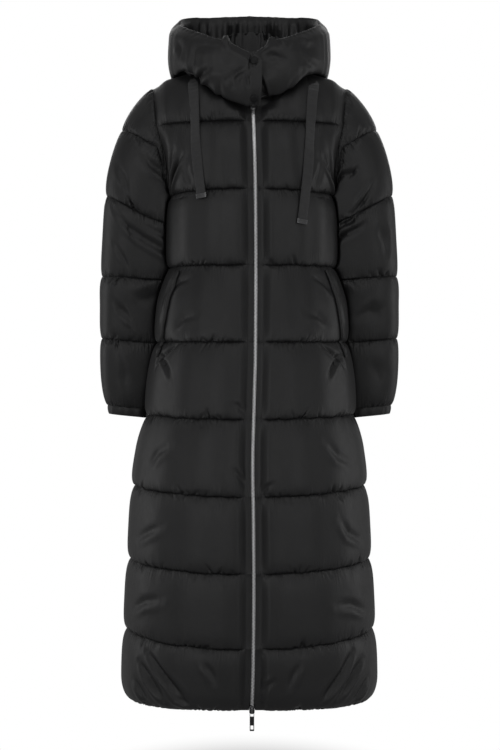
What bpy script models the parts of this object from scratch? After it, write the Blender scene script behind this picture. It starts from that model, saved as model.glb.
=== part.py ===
"""A long hooded puffer coat, zipped up and filled out as if worn, hollow inside.

Metres, +Z up. The front faces -Y and the wearer's left is +X. The origin is on the body's axis at the
height of the neck points, where the wearer's shoulders carry the coat. Each piece that a maker cuts is an
object of its own. A padded piece is a wall: plain inside, and quilted in its outer points.
"""

import math

import bmesh
import bpy
import numpy as np
from mathutils import Matrix, Vector

SEAM_GAP = 0.0003  # between two pieces that are sewn or rest together
NECK_GAP = 0.0004  # the same at the neckline
NECK_TWIST = 0.0007  # added half-way between the panels' columns, where the neckline's rims twist
WALL = 0.003  # shell, fill and backing where they are sewn flat
BODY_PUFF = 0.012  # how far the filling lifts the shell between two quilt lines
SLEEVE_PUFF = 0.010
PUFF_AT_SIDE = 0.35  # the share of it at the side seams
PUFF_GROWS = (-0.004, 0.045)  # from a panel's edge, where the filling starts and is whole
UNEVEN_PUFF = (0.07, 0.16)  # how unlike the filling is from column to column, and more so beside the lines
SECTION_POWER = 2.3  # the body's level section, a little fuller than an ellipse

SIDE_Y = 0.003  # the side seams and shoulder seams lie in this plane
NECK_POINT = (0.092, 0.008)  # x and z
NECK_FRONT = (-0.100, -0.062)  # y and z of the neckline at the zip
NECK_BACK = (0.083, 0.020)
SHOULDER_POINT = (0.193, -0.0195)  # x and z
UNDERARM_Z = -0.247
ARMHOLE_WIDEST_Z = -0.104
ARMHOLE_FRONT = 0.069  # how far the armhole reaches before the side seam's plane
ARMHOLE_BACK = 0.074

CHAIN_HALF = 0.0028
CHAIN_PROUD = 0.0002
CHAIN_DEEP = 0.0017
CHAIN_TOP_Z = -0.0803
CHAIN_FOOT_Z = -1.2019
CHAIN_SLOT = 0.0034  # half the slot between the fronts
SLIDER_SLOT = 0.0064  # the same at the hem, where the slider sits
SLOT_WIDENS_Z = (-1.190, -1.203)
STRIP = 0.016  # the plain strip beside the zip
TAPE_SHARE = 0.78  # how much of the strip the zip's tape covers behind the panel
TAPE_BEHIND = 0.0009  # from the front's plain inside to the tape
TAPE_THICK = 0.0008
TAPE_TOP_Z = -0.0650
TAPE_FOOT_Z = -1.1980

COLUMNS_FRONT = 14
NECK_COLUMN_FRONT = 9
INSIDE_FRONT = (*range(NECK_COLUMN_FRONT + 1), 11, 13, 14)  # the columns that the plain inside keeps
COLUMNS_BACK = 10
NECK_COLUMN_BACK = 6
INSIDE_BACK = (*range(NECK_COLUMN_BACK + 1), 8, 10)
FIRST_COLUMNS = (0, STRIP, 0.030, 0.050)  # how far a front's first columns lie from the zip
LAST_COLUMN = 0.022  # and the last column but one from the side
CHANNEL_STEPS = (0.0, 0.12, 0.35, 0.65, 0.88)
UNDERARM_ROW = 7 * len(CHANNEL_STEPS) - 1  # the row where the side seam ends and the armhole starts


def table(columns, rows):
    """A table as a dictionary of columns."""
    return {name: np.array(values, float) for name, values in zip(columns.split(), zip(*rows))}


# The quilt lines round the body, hem first: their heights at the zip, the side and the middle of the back.
LINES = table(
    "front_z side_z back_z",
    (
        (-1.2115, -1.222, -1.226),
        (-1.0967, -1.086, -1.090),
        (-0.9585, -0.949, -0.953),
        (-0.8160, -0.806, -0.811),
        (-0.6730, -0.667, -0.670),
        (-0.5280, -0.525, -0.527),
        (-0.3800, -0.378, -0.379),
        (-0.2360, -0.238, -0.238),
        (-0.1040, -0.104, -0.104),
    ),
)
YOKE_LINE = 8

# The body's level sections, by the height of their side point.
BODY = table(
    "side_z half_width front_depth back_depth centre_x",
    (
        (-1.222, 0.2370, 0.190, 0.176, 0.000),
        (-1.180, 0.2425, 0.195, 0.180, 0.000),
        (-1.086, 0.2395, 0.197, 0.181, 0.000),
        (-0.949, 0.2330, 0.195, 0.178, 0.000),
        (-0.806, 0.2250, 0.190, 0.172, 0.000),
        (-0.730, 0.2150, 0.184, 0.166, 0.001),
        (-0.667, 0.2010, 0.176, 0.158, 0.002),
        (-0.600, 0.1955, 0.168, 0.151, 0.003),
        (-0.525, 0.1850, 0.156, 0.142, 0.004),
        (-0.450, 0.1790, 0.141, 0.126, 0.005),
        (-0.378, 0.1625, 0.128, 0.112, 0.005),
        (-0.300, 0.1610, 0.134, 0.122, 0.005),
        (-0.238, 0.1602, 0.137, 0.131, 0.004),
        (-0.170, 0.1660, 0.131, 0.133, 0.003),
        (-0.104, 0.1820, 0.112, 0.126, 0.001),
    ),
)

# The zip's middle, which waves a little.
ZIP = table(
    "z x",
    (
        (-1.212, 0.0050),
        (-1.120, 0.0074),
        (-0.980, 0.0085),
        (-0.860, 0.0078),
        (-0.760, 0.0064),
        (-0.640, 0.0092),
        (-0.550, 0.0115),
        (-0.380, 0.0125),
        (-0.240, 0.0116),
        (-0.130, 0.0090),
        (-0.060, 0.0064),
    ),
)

# The sleeve's tube, from the second quilt line down: heights on its outer and inner side, middle and
# half sizes. The rows at even places are quilt lines, and the last is the cuff seam.
SLEEVE = table(
    "outer_z inner_z centre_x centre_y half_x half_y",
    (
        (-0.232, -0.296, 0.2275, 0.018, 0.0575, 0.064),
        (-0.310, -0.350, 0.2320, 0.026, 0.0580, 0.062),
        (-0.392, -0.402, 0.2360, 0.034, 0.0600, 0.062),
        (-0.455, -0.463, 0.2440, 0.041, 0.0530, 0.058),
        (-0.516, -0.526, 0.2470, 0.046, 0.0510, 0.057),
        (-0.590, -0.598, 0.2495, 0.050, 0.0470, 0.052),
        (-0.650, -0.658, 0.2470, 0.052, 0.0415, 0.046),
    ),
)
SLEEVE_TOP_LINE_Z = -0.150  # where the first quilt line of the sleeve meets the armhole
SLEEVE_TOP_LINE_DROP = 0.103  # and how far it lies below the shoulder point along the sleeve
CUFF_HEIGHT = 0.018
CUFF_IN = 0.0025
SLEEVE_INSIDE = (0, 1, 2, 5, 7, 10, 12, 15, 17, 20, 22, 25)  # the rows that the plain inside keeps
SLEEVE_CLEAR = 0.0025  # from the filled body
HEAD_DOWN = (0.45, 0.50, 0.30)  # how steeply the sleeve leaves: at the shoulder, more beside it, less below
HEAD_PULL = (0.26, 0.12, 0.42)  # how far that way lasts: at the shoulder, more below, and at the tube's end
HEAD_LEAST = 0.10  # the first channel's least share of the sleeve's head
FULL_CHANNELS = (0.07, 0.09)  # the heights at which the head's two channels are quite full

# The hood's section by azimuth, from the throat (0) to the middle of the back (180): the outer side from
# below the lip to the rim, then the inner side from the seam up.
HOOD = table(
    "azimuth under_r under_z low_r low_z belly_r belly_z high_r high_z rim_r rim_z",
    (
        (0, 0.112, -0.064, 0.124, -0.079, 0.141, -0.035, 0.140, 0.002, 0.130, 0.022),
        (13, 0.113, -0.056, 0.125, -0.070, 0.143, -0.026, 0.143, 0.020, 0.132, 0.043),
        (20, 0.115, -0.050, 0.126, -0.064, 0.146, -0.018, 0.146, 0.032, 0.134, 0.064),
        (27, 0.117, -0.043, 0.129, -0.056, 0.149, -0.012, 0.148, 0.034, 0.136, 0.057),
        (40, 0.122, -0.022, 0.137, -0.030, 0.155, 0.000, 0.152, 0.043, 0.138, 0.063),
        (60, 0.124, 0.004, 0.149, -0.005, 0.163, 0.022, 0.160, 0.064, 0.142, 0.083),
        (80, 0.124, 0.013, 0.154, 0.000, 0.163, 0.038, 0.160, 0.084, 0.143, 0.102),
        (90, 0.122, 0.014, 0.153, 0.000, 0.162, 0.042, 0.160, 0.090, 0.143, 0.110),
        (110, 0.124, 0.017, 0.160, 0.005, 0.168, 0.042, 0.166, 0.112, 0.148, 0.134),
        (135, 0.140, -0.004, 0.172, -0.055, 0.185, 0.010, 0.178, 0.115, 0.148, 0.151),
        (160, 0.131, -0.020, 0.172, -0.110, 0.192, -0.020, 0.180, 0.115, 0.128, 0.157),
        (180, 0.132, -0.025, 0.170, -0.130, 0.192, -0.030, 0.178, 0.112, 0.118, 0.158),
    ),
)
HOOD_INSIDE = table(
    "azimuth roll_r roll_z deep_r deep_z wall_r wall_z",
    (
        (0, 0.105, -0.048, 0.113, -0.040, 0.127, -0.015),
        (40, 0.112, -0.011, 0.121, -0.002, 0.137, 0.016),
        (60, 0.113, 0.014, 0.126, 0.019, 0.144, 0.038),
        (90, 0.112, 0.026, 0.128, 0.032, 0.144, 0.056),
        (110, 0.104, 0.050, 0.126, 0.050, 0.146, 0.082),
        (135, 0.091, 0.098, 0.120, 0.082, 0.140, 0.108),
        (160, 0.084, 0.114, 0.106, 0.086, 0.120, 0.116),
        (180, 0.082, 0.117, 0.102, 0.086, 0.113, 0.116),
    ),
)
HOOD_PAD_AT_RIM = 0.010
LAP_BELOW = 0.0155  # how far the lower flap lies inside the upper one
LAP_COLUMNS = (0.024, 0.0145, 0.0065)  # how far the upper flap passes the middle, edge first
HOOD_FOLD_IN = 0.002  # the hood's first fold, off the neckline's edge and away from the body
HOOD_FOLD_UP = 0.0055
HOOD_FOLD_INSIDE = 0.0065
FOLD_RISES = (25, 50, 0.004)  # between these azimuths the inner fold comes to lie so much higher
HOOD_ROWS = 13
LOWEST_HOOD_ROW = 6  # from this row up the upper flap's outer points only rise
CORNER_CLEAR = 0.0009  # more room at the corner where the upper flap leaves the neckline

# The pocket mouths, from their top down: the height, the place across the front, as a share of the way
# from the zip to the side seam, and the distances between their lips.
POCKET = table(
    "z share width",
    (
        (-0.388, 0.655, 0.036),
        (-0.430, 0.668, 0.034),
        (-0.475, 0.685, 0.028),
        (-0.515, 0.700, 0.022),
        (-0.556, 0.712, 0.013),
    ),
)
POCKET_LIP = 0.0045
POCKET_EDGE = 0.0024
POCKET_REST = 0.0014
POCKET_END = 0.004  # no section nearer to an end than this

# Half the slider's outline from its wide end, which faces the hem, up to the chain.
SLIDER = table(
    "z half_width",
    (
        (-1.2176, 0.0034),
        (-1.2150, 0.0050),
        (-1.2060, 0.0050),
        (-1.2022, 0.0036),
    ),
)
SLIDER_PROUD = 0.003
SLIDER_DEEP = 0.004
# The arch that holds the pull tab, in the side view: how far before the slider's face, and the height.
ARCH = table(
    "before z",
    (
        (-0.0005, -1.2042),
        (0.0022, -1.2046),
        (0.0034, -1.2060),
        (0.0034, -1.2162),
        (0.0026, -1.2174),
        (-0.0005, -1.2174),
        (-0.0005, -1.2161),
        (0.0022, -1.2161),
        (0.0022, -1.2058),
        (-0.0005, -1.2056),
    ),
)
ARCH_HALF = 0.0013
PIVOT_Z = -1.2150
PIVOT_BEFORE = 0.0011
TAB_HALF = 0.00415
TAB_HALF_THICK = 0.0006
TAB_BAR = 0.0006  # half the crossbar that turns in the arch
TAB_END = 0.0339  # from the pivot to the tab's end
TAB_WINDOWS = table("top bottom half_width", ((0.0006, 0.0071, 0.0031), (0.0237, 0.0311, 0.0027)))

# The hidden upper slider: half its outline and its depths, from its face to its back.
UPPER_SLIDER_Z = (-0.0800, -0.0680)
UPPER_SLIDER = table(
    "across proud",
    (
        (-0.0045, 0.0030),
        (0.0045, 0.0030),
        (0.0045, 0.0004),
        (0.0028, 0.0004),
        (0.0028, -0.0030),
        (-0.0028, -0.0030),
        (-0.0028, 0.0004),
        (-0.0045, 0.0004),
    ),
)

SNAPS = {"snap_upper": (0.0089, 0.0055), "snap_lower": (0.0097, -0.0650)}  # x and z on the upper flap
SNAP_RADIUS = 0.00775
SNAP_THICK = 0.003
SNAP_LIFT = 0.0006

# The drawcords are flat tapes that hang before the chest: their middle lines, and how far they turn outward.
DRAWCORD_RIGHT = table(
    "x y z turn",
    (
        (-0.1095, -0.0800, -0.0165, 12),
        (-0.1085, -0.0900, -0.0300, 14),
        (-0.1068, -0.1030, -0.0480, 18),
        (-0.1055, -0.1095, -0.0680, 20),
        (-0.1045, -0.1120, -0.0900, 20),
        (-0.1037, -0.1152, -0.1100, 22),
        (-0.1031, -0.1195, -0.1300, 24),
        (-0.1020, -0.1258, -0.1500, 26),
        (-0.1000, -0.1297, -0.1720, 27),
        (-0.0977, -0.1310, -0.1950, 27),
        (-0.0950, -0.1310, -0.2180, 26),
        (-0.0922, -0.1305, -0.2420, 24),
        (-0.0908, -0.1305, -0.2517, 24),
    ),
)
DRAWCORD_LEFT = table(
    "x y z turn",
    (
        (0.1268, -0.0683, -0.0170, 10),
        (0.1245, -0.0859, -0.0320, 10),
        (0.1222, -0.1007, -0.0480, 12),
        (0.1200, -0.1062, -0.0680, 14),
        (0.1188, -0.1085, -0.0900, 16),
        (0.1175, -0.1102, -0.1100, 20),
        (0.1162, -0.1159, -0.1280, 24),
        (0.1150, -0.1219, -0.1480, 27),
        (0.1138, -0.1265, -0.1700, 29),
        (0.1122, -0.1298, -0.1930, 30),
        (0.1098, -0.1302, -0.2180, 29),
        (0.1068, -0.1306, -0.2450, 27),
        (0.1035, -0.1322, -0.2720, 26),
        (0.1000, -0.1335, -0.3008, 25),
    ),
)
DRAWCORD_WIDTH = 0.020
DRAWCORD_THICK = 0.0015
DRAWCORD_SECTIONS = 20
CORD_END_SIZE = (0.021, 0.0024, 0.0095)


def through(stations, values, at):
    """A smooth curve through the values, without overshoot, read at some stations."""
    steps = np.diff(stations)
    slopes = np.diff(values) / steps
    before, after = slopes[:-1], slopes[1:]
    same_way = before * after > 0
    safe = np.where(same_way, before + after, 1.0)
    middle = np.where(same_way, 2 * before * after / safe, 0.0)
    tangents = np.concatenate([slopes[:1], middle, slopes[-1:]])
    at = np.clip(at, stations[0], stations[-1])
    i = np.clip(np.searchsorted(stations, at, side="right") - 1, 0, len(steps) - 1)
    t = (at - stations[i]) / steps[i]
    rise = steps[i] * ((t**3 - 2 * t**2 + t) * tangents[i] + (t**3 - t**2) * tangents[i + 1])
    return (2 * t**3 - 3 * t**2 + 1) * values[i] + (3 * t**2 - 2 * t**3) * values[i + 1] + rise


def read(columns, key, at, *names):
    """Some columns of a table, read smoothly at a station."""
    return [through(columns[key], columns[name], at) for name in names]


def soft_step(low, high, at):
    t = np.clip((at - low) / (high - low), 0, 1)
    return t * t * (3 - 2 * t)


def along(line):
    """The distance of each point from a line's start."""
    return np.concatenate([[0], np.cumsum(np.linalg.norm(np.diff(line, axis=0), axis=1))])


def pick(line, distances):
    """The points of a line at some distances from its start."""
    at = along(line)
    return np.stack([np.interp(distances, at, line[:, k]) for k in range(3)], axis=1)


def at_index(values, index):
    """A value between two entries of a list."""
    low = min(int(index), len(values) - 2)
    return values[low] + (index - low) * (values[low + 1] - values[low])


def at_height(line, z):
    """The point of a rising line at a height."""
    return np.array([np.interp(z, line[:, 2], line[:, k]) for k in range(3)])


def unit(vectors):
    return vectors / np.maximum(np.linalg.norm(vectors, axis=-1, keepdims=True), 1e-12)


def normals_of(grid, wrap=False):
    """The normal at each point of a grid, from its neighbours."""
    if wrap:
        across = np.roll(grid, -1, axis=1) - np.roll(grid, 1, axis=1)
    else:
        across = np.gradient(grid, axis=1)
    return unit(np.cross(across, np.gradient(grid, axis=0)))


def channel_puff(fraction):
    """How full a channel is between its two quilt lines: flat on top, steep at the stitching."""
    return (1 - abs(2 * fraction - 1) ** 3) ** 0.7


# ---------------------------------------------------------------- meshes


def rim(fine, coarse):
    """Triangles between two edges that start and end together: lists of (vertex, station)."""
    faces = []
    i = j = 0
    while i < len(fine) - 1 or j < len(coarse) - 1:
        if j == len(coarse) - 1 or (i < len(fine) - 1 and fine[i + 1][1] <= coarse[j + 1][1]):
            faces.append((fine[i][0], fine[i + 1][0], coarse[j][0]))
            i += 1
        else:
            faces.append((fine[i][0], coarse[j + 1][0], coarse[j][0]))
            j += 1
    return faces


def wall(name, outer, inner, rows, columns, look, wrap=False):
    """A closed wall: the outer grid whole, the inner grid only at some rows and columns, and the rims."""
    count_v, count_u = outer.shape[:2]
    outer_id = np.arange(count_v * count_u).reshape(count_v, count_u)
    inner_id = {}
    points = list(outer.reshape(-1, 3))
    for i in rows:
        for j in columns:
            inner_id[i, j] = len(points)
            points.append(inner[i, j])
    last = count_u if wrap else count_u - 1
    faces = []
    for i in range(count_v - 1):
        for j in range(last):
            k = (j + 1) % count_u
            faces.append((outer_id[i, j], outer_id[i, k], outer_id[i + 1, k], outer_id[i + 1, j]))
    stops = list(columns) + ([count_u] if wrap else [])
    for a, b in zip(rows, rows[1:]):
        for c, d in zip(stops, stops[1:]):
            d = d % count_u
            faces.append((inner_id[a, c], inner_id[b, c], inner_id[b, d], inner_id[a, d]))
    for i in (0, count_v - 1):
        fine = [(outer_id[i, j % count_u], j) for j in range(last + 1)]
        faces += rim(fine, [(inner_id[i, j % count_u], j) for j in stops])
    if not wrap:
        for j in (0, count_u - 1):
            fine = [(outer_id[i, j], i) for i in range(count_v)]
            faces += rim(fine, [(inner_id[i, j], i) for i in rows])
    return solid(name, points, faces, look)


def solid(name, points, faces, look):
    """A closed mesh object with its faces pointing out."""
    mesh = bpy.data.meshes.new(name)
    mesh.from_pydata([tuple(map(float, p)) for p in points], [], [tuple(map(int, f)) for f in faces])
    work = bmesh.new()
    work.from_mesh(mesh)
    bmesh.ops.recalc_face_normals(work, faces=work.faces)
    if work.calc_volume(signed=True) < 0:
        bmesh.ops.reverse_faces(work, faces=work.faces)
    work.to_mesh(mesh)
    work.free()
    obj = bpy.data.objects.new(name, mesh)
    COAT.objects.link(obj)
    finish(obj, look)
    return obj


def strip(name, sections, look):
    """A closed bar through sections that have the same number of corners."""
    sections = np.asarray(sections)
    count, corners = sections.shape[:2]
    faces = [tuple(range(corners)), tuple(range((count - 1) * corners, count * corners))]
    for i in range(count - 1):
        for k in range(corners):
            m = (k + 1) % corners
            low, high = i * corners, (i + 1) * corners
            faces.append((low + k, low + m, high + m, high + k))
    return solid(name, sections.reshape(-1, 3), faces, look)


def finish(obj, look):
    paint(obj, look)
    obj.data.shade_smooth()
    obj.data.set_sharp_from_angle(angle=math.radians(40))


def paint(obj, look):
    """Gives a piece its own material."""
    colour, roughness, metallic = LOOKS[look]
    material = bpy.data.materials.new(obj.name)
    material.use_nodes = True
    shader = material.node_tree.nodes["Principled BSDF"]
    shader.inputs["Base Color"].default_value = (*colour, 1)
    shader.inputs["Roughness"].default_value = roughness
    shader.inputs["Metallic"].default_value = metallic
    obj.data.materials.append(material)


LOOKS = {
    "nylon": ((0.012, 0.012, 0.013), 0.42, 0.0),
    "tape": ((0.016, 0.016, 0.017), 0.7, 0.0),
    "zip tape": ((0.010, 0.010, 0.011), 0.75, 0.0),
    "silver": ((0.72, 0.72, 0.73), 0.28, 1.0),
    "gunmetal": ((0.10, 0.10, 0.105), 0.3, 1.0),
}


# ---------------------------------------------------------------- the body's surface


def armhole_y(z, back):
    """The armhole's edge, before or behind the side plane, below its widest height."""
    reach = ARMHOLE_BACK if back else ARMHOLE_FRONT
    share = np.clip((ARMHOLE_WIDEST_Z - z) / (ARMHOLE_WIDEST_Z - UNDERARM_Z), 0, 1)
    away = reach * (1 - share**2.2) ** (1 / 2.2)
    return SIDE_Y + away if back else SIDE_Y - away


def section(side_z, back):
    """Half of a level section as a dense line, from the wearer's right edge to the left one, in plan."""
    half_width, depth, centre_x = read(
        BODY, "side_z", side_z, "half_width", "back_depth" if back else "front_depth", "centre_x"
    )
    depth = depth - SIDE_Y if back else depth + SIDE_Y
    edge_y = armhole_y(side_z, back) if side_z > UNDERARM_Z else SIDE_Y
    reach = abs(edge_y - SIDE_Y) / depth
    full = half_width / (1 - reach**SECTION_POWER) ** (1 / SECTION_POWER)
    last = math.acos(min(1.0, reach ** (SECTION_POWER / 2)))
    angle = np.linspace(-last, last, 241)
    x = centre_x + full * np.sign(angle) * np.abs(np.sin(angle)) ** (2 / SECTION_POWER)
    y = depth * np.cos(angle) ** (2 / SECTION_POWER)
    return x, SIDE_Y + y if back else SIDE_Y - y, centre_x, half_width


def heights(channel, fraction, back):
    """The heights of a row at the middle and at the side."""
    low, high = channel, min(channel + 1, YOKE_LINE)
    middle = LINES["back_z" if back else "front_z"]
    side = LINES["side_z"]
    return (
        middle[low] + fraction * (middle[high] - middle[low]),
        side[low] + fraction * (side[high] - side[low]),
    )


def half_row(channel, fraction, back, side):
    """A row of the body from its middle line to its side, as a dense line."""
    middle_z, side_z = heights(channel, fraction, back)
    x, y, centre_x, half_width = section(side_z, back)
    z = middle_z + (side_z - middle_z) * ((x - centre_x) / half_width) ** 2
    line = np.stack([x, y, z], axis=1)
    return cut_at(line, side, middle_x(middle_z, back, side))


def middle_x(z, back, side):
    """Where a half panel starts: the edge at the zip, or the middle of the back."""
    if back:
        return read(BODY, "side_z", z, "centre_x")[0]
    slot = CHAIN_SLOT + (SLIDER_SLOT - CHAIN_SLOT) * soft_step(*SLOT_WIDENS_Z, z)
    return read(ZIP, "z", z, "x")[0] + side * slot


def cut_at(line, side, x):
    """The part of a line on one side of x, from x outward."""
    if side < 0:
        line = line[::-1]
    keep = side * (line[:, 0] - x) > 1e-6
    start = [np.interp(side * x, side * line[:, 0], line[:, k]) for k in range(3)]
    return np.vstack([start, line[keep]])


def neck_and_shoulder(back, side):
    """The top edge of half a panel: the neckline to the neck point, and the shoulder seam."""
    end_y, end_z = NECK_BACK if back else NECK_FRONT
    neck_x, neck_z = NECK_POINT
    angle = np.linspace(0, math.pi / 2, 121)
    flat = np.cos(angle) ** 0.87
    x = neck_x * np.sin(angle) ** 0.87
    y = SIDE_Y + (end_y - SIDE_Y) * flat
    z = neck_z + (end_z - neck_z) * (np.cos(angle) if back else np.cos(angle) ** 1.6)
    neckline = np.stack([side * x, y, z], axis=1)
    if not back:
        other = neckline[::-1] * (-1, 1, 1)
        neckline = cut_at(np.vstack([other, neckline[1:]])[::side], side, middle_x(end_z, back, side))
    share = np.linspace(0, 1, 41)
    shoulder = np.stack(
        [
            side * (neck_x + share * (SHOULDER_POINT[0] - neck_x)),
            np.full(41, SIDE_Y),
            neck_z + share * (SHOULDER_POINT[1] - neck_z) + 0.003 * np.sin(math.pi * share),
        ],
        axis=1,
    )
    return neckline, shoulder


def spread(length, count, back):
    """How far from its start each column of a row lies."""
    edge = length - LAST_COLUMN
    if back:
        return np.concatenate([np.linspace(0, edge, count), [length]])
    rest = np.linspace(FIRST_COLUMNS[-1], edge, count - len(FIRST_COLUMNS) + 1)
    return np.concatenate([FIRST_COLUMNS[:-1], rest, [length]])


def rows_of_body():
    """The rows of the body below the yoke line, as (channel, fraction), hem first."""
    rows = [(channel, step) for channel in range(YOKE_LINE) for step in CHANNEL_STEPS]
    low, high = LINES["side_z"][6], LINES["side_z"][7]
    rows[rows.index((6, CHANNEL_STEPS[-1]))] = (6, (UNDERARM_Z - low) / (high - low))
    return rows


def half_base(back, side):
    """The sewn surface of half the front or back, before it is filled: rows from the hem to the top."""
    count = COLUMNS_BACK if back else COLUMNS_FRONT
    neck_column = NECK_COLUMN_BACK if back else NECK_COLUMN_FRONT
    grid = []
    for channel, fraction in rows_of_body() + [(YOKE_LINE, 0)]:
        line = half_row(channel, fraction, back, side)
        grid.append(pick(line, spread(along(line)[-1], count, back)))
    neckline, shoulder = neck_and_shoulder(back, side)
    around = along(neckline)[-1]
    if back:
        stops = np.linspace(0, around, neck_column + 1)
    else:
        stops = np.concatenate([[0, STRIP], np.linspace(STRIP, around, neck_column)[1:]])
    rest = np.linspace(0, along(shoulder)[-1], count - neck_column + 1)[1:]
    top = np.vstack([pick(neckline, stops), pick(shoulder, rest)])
    bottom = grid[-1]
    over = soft_step(0.05, 0.60, np.arange(count + 1) / count)
    for fraction in CHANNEL_STEPS[1:] + (1.0,):
        out = (1 - over) * fraction + over * (1 - math.cos(fraction * math.pi / 2))
        up = (1 - over) * fraction + over * math.sin(fraction * math.pi / 2)
        x = bottom[:, 0] + fraction * (top[:, 0] - bottom[:, 0])
        y = bottom[:, 1] + out * (top[:, 1] - bottom[:, 1])
        z = bottom[:, 2] + up * (top[:, 2] - bottom[:, 2])
        grid.append(np.stack([x, y, z], axis=1))
    grid = np.array(grid)
    # Half the seam's gap is taken off each side of the side seams and shoulder seams.
    shift = SEAM_GAP / 2 * (1 if back else -1)
    grid[: UNDERARM_ROW + 1, -1, 1] += shift
    grid[-1, neck_column:, 1] += shift
    return grid


def fullness(grid, back):
    """How far the filling lifts each point of half a panel."""
    fractions = [f for _, f in rows_of_body()] + list(CHANNEL_STEPS) + [0.0]
    channels = [c for c, _ in rows_of_body()] + [YOKE_LINE] * 5 + [YOKE_LINE + 1]
    lift = np.zeros(grid.shape[:2])
    for i, (channel, fraction) in enumerate(zip(channels, fractions)):
        from_start = along(grid[i])
        from_end = from_start[-1] - from_start
        below = heights(min(channel, YOKE_LINE), fraction, back)[1] < UNDERARM_Z
        least = PUFF_AT_SIDE if below else 0.0
        amount = least + (1 - least) * soft_step(*PUFF_GROWS, from_end)
        if least == 0:
            amount *= from_end > 0.001
        if not back:
            amount = amount * soft_step(STRIP - 0.001, STRIP + 0.030, from_start)
        column = np.arange(grid.shape[1])
        uneven = 1 + UNEVEN_PUFF[0] * np.sin(2.1 * column + 1.7 * channel)
        if fraction in (CHANNEL_STEPS[1], CHANNEL_STEPS[-1]):
            uneven += UNEVEN_PUFF[1] * np.sin(2.6 * column + channel + 9 * fraction)
        if channel == YOKE_LINE:
            uneven *= 1 - 0.95 * soft_step(0.30, 0.75, fraction)
        lift[i] = BODY_PUFF * channel_puff(fraction) * amount * uneven
    return lift


def body_half(back, side):
    """Half a panel as grids: its outer points, its inner points, the sewn surface and the normals."""
    base = half_base(back, side)
    normal = normals_of(base) * side * (-1 if back else 1)
    # Where two panels meet in the side plane, their edges lift and sink within that plane.
    normal[: UNDERARM_ROW + 1, -1, 1] = 0
    slope = SHOULDER_POINT[1] - NECK_POINT[1], SHOULDER_POINT[0] - NECK_POINT[0]
    normal[-1, NECK_COLUMN_BACK if back else NECK_COLUMN_FRONT :] = -side * slope[0], 0, slope[1]
    normal = unit(normal)
    outer = base + normal * fullness(base, back)[..., None]
    inner = base - normal * WALL
    for grid in (outer, inner):
        if back:
            grid[..., 1] = np.maximum(grid[..., 1], SIDE_Y + SEAM_GAP / 2)
        else:
            grid[..., 1] = np.minimum(grid[..., 1], SIDE_Y - SEAM_GAP / 2)
    return outer, inner, base, normal


def front(name, side):
    outer, inner, base, normal = body_half(False, side)
    rows = inner_rows(len(outer))
    wall(name, outer, inner, rows, INSIDE_FRONT, "nylon")
    return outer, inner, base, normal


def back_panel():
    right, left = body_half(True, -1), body_half(True, 1)
    joined = [np.concatenate([r[:, :0:-1], l], axis=1) for r, l in zip(right, left)]
    middle = (right[3][:, 0] + left[3][:, 0]) / 2
    joined[1][:, COLUMNS_BACK] = right[2][:, 0] - unit(middle) * WALL
    joined[0][:, COLUMNS_BACK] = (right[0][:, 0] + left[0][:, 0]) / 2
    columns = sorted({COLUMNS_BACK + s * j for j in INSIDE_BACK for s in (-1, 1)})
    wall("back", joined[0], joined[1], inner_rows(len(joined[0])), columns, "nylon")
    return right, left


def inner_rows(count):
    """The rows of the plain inside: each quilt line, each channel's middle, all by the armhole."""
    step = len(CHANNEL_STEPS)
    rows = set(range(0, count, step)) | set(range(2, count, step))
    rows |= set(range(UNDERARM_ROW, count))
    rows.add(count - 1)
    return sorted(rows)


# ---------------------------------------------------------------- sleeves


def body_reach(z, y, side):
    """How far out the filled body comes at a height and depth, on one side."""
    half_width, front_depth, back_depth, centre_x = read(
        BODY, "side_z", z, "half_width", "front_depth", "back_depth", "centre_x"
    )
    depth = np.where(y > SIDE_Y, back_depth - SIDE_Y, front_depth + SIDE_Y)
    share = np.clip(np.abs(y - SIDE_Y) / depth, 0, 0.98)
    channel = np.clip(np.searchsorted(LINES["side_z"], z, side="right") - 1, 0, YOKE_LINE - 1)
    low, high = LINES["side_z"][channel], LINES["side_z"][channel + 1]
    puff = channel_puff(np.clip((z - low) / (high - low), 0, 1)) * BODY_PUFF
    beside = 0.42 + 0.75 * soft_step(0.0, 0.045, np.abs(y - SIDE_Y))
    return side * centre_x + half_width * (1 - share**SECTION_POWER) ** (1 / SECTION_POWER) + puff * beside


def armhole_loop(front_half, back_half, side):
    """The armhole's edge, from the shoulder point down the front and up the back: outer, inner, outward."""
    start = UNDERARM_ROW
    outer, inner = [], []
    for grids, order in ((front_half, slice(None, None, -1)), (back_half, slice(None))):
        edge_out, edge_in = grids[0][start:, -1][order], grids[1][start:, -1][order]
        outer.append(edge_out)
        inner.append(edge_in)
    loops = []
    for down, up in (outer, inner):
        bottom, top = (down[-1] + up[0]) / 2, (down[0] + up[-1]) / 2
        loops.append(np.vstack([[top], down[1:-1], [bottom], up[1:-1]]))
    loop, inside = loops
    tangent = unit(np.roll(loop, -1, axis=0) - np.roll(loop, 1, axis=0))
    outward = unit(np.cross(tangent, unit(loop - inside)))
    into_hole = loop.mean(axis=0) + (0.02 * side, 0, 0) - loop
    outward *= np.sign(np.sum(outward * into_hole, axis=1, keepdims=True))
    return loop + SEAM_GAP * outward, inside + SEAM_GAP * outward, outward


def tube_point(station, angle, side):
    """A point of the sleeve's tube: the station counts the rows of the table."""
    outer_z, inner_z, centre_x, centre_y, half_x, half_y = (
        through(np.arange(len(SLEEVE["outer_z"])), SLEEVE[name], station) for name in SLEEVE
    )
    return np.stack(
        [
            side * (centre_x + half_x * np.cos(angle)),
            centre_y - half_y * np.sin(angle),
            (outer_z + inner_z) / 2 + (outer_z - inner_z) / 2 * np.cos(angle),
        ],
        axis=-1,
    )


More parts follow.
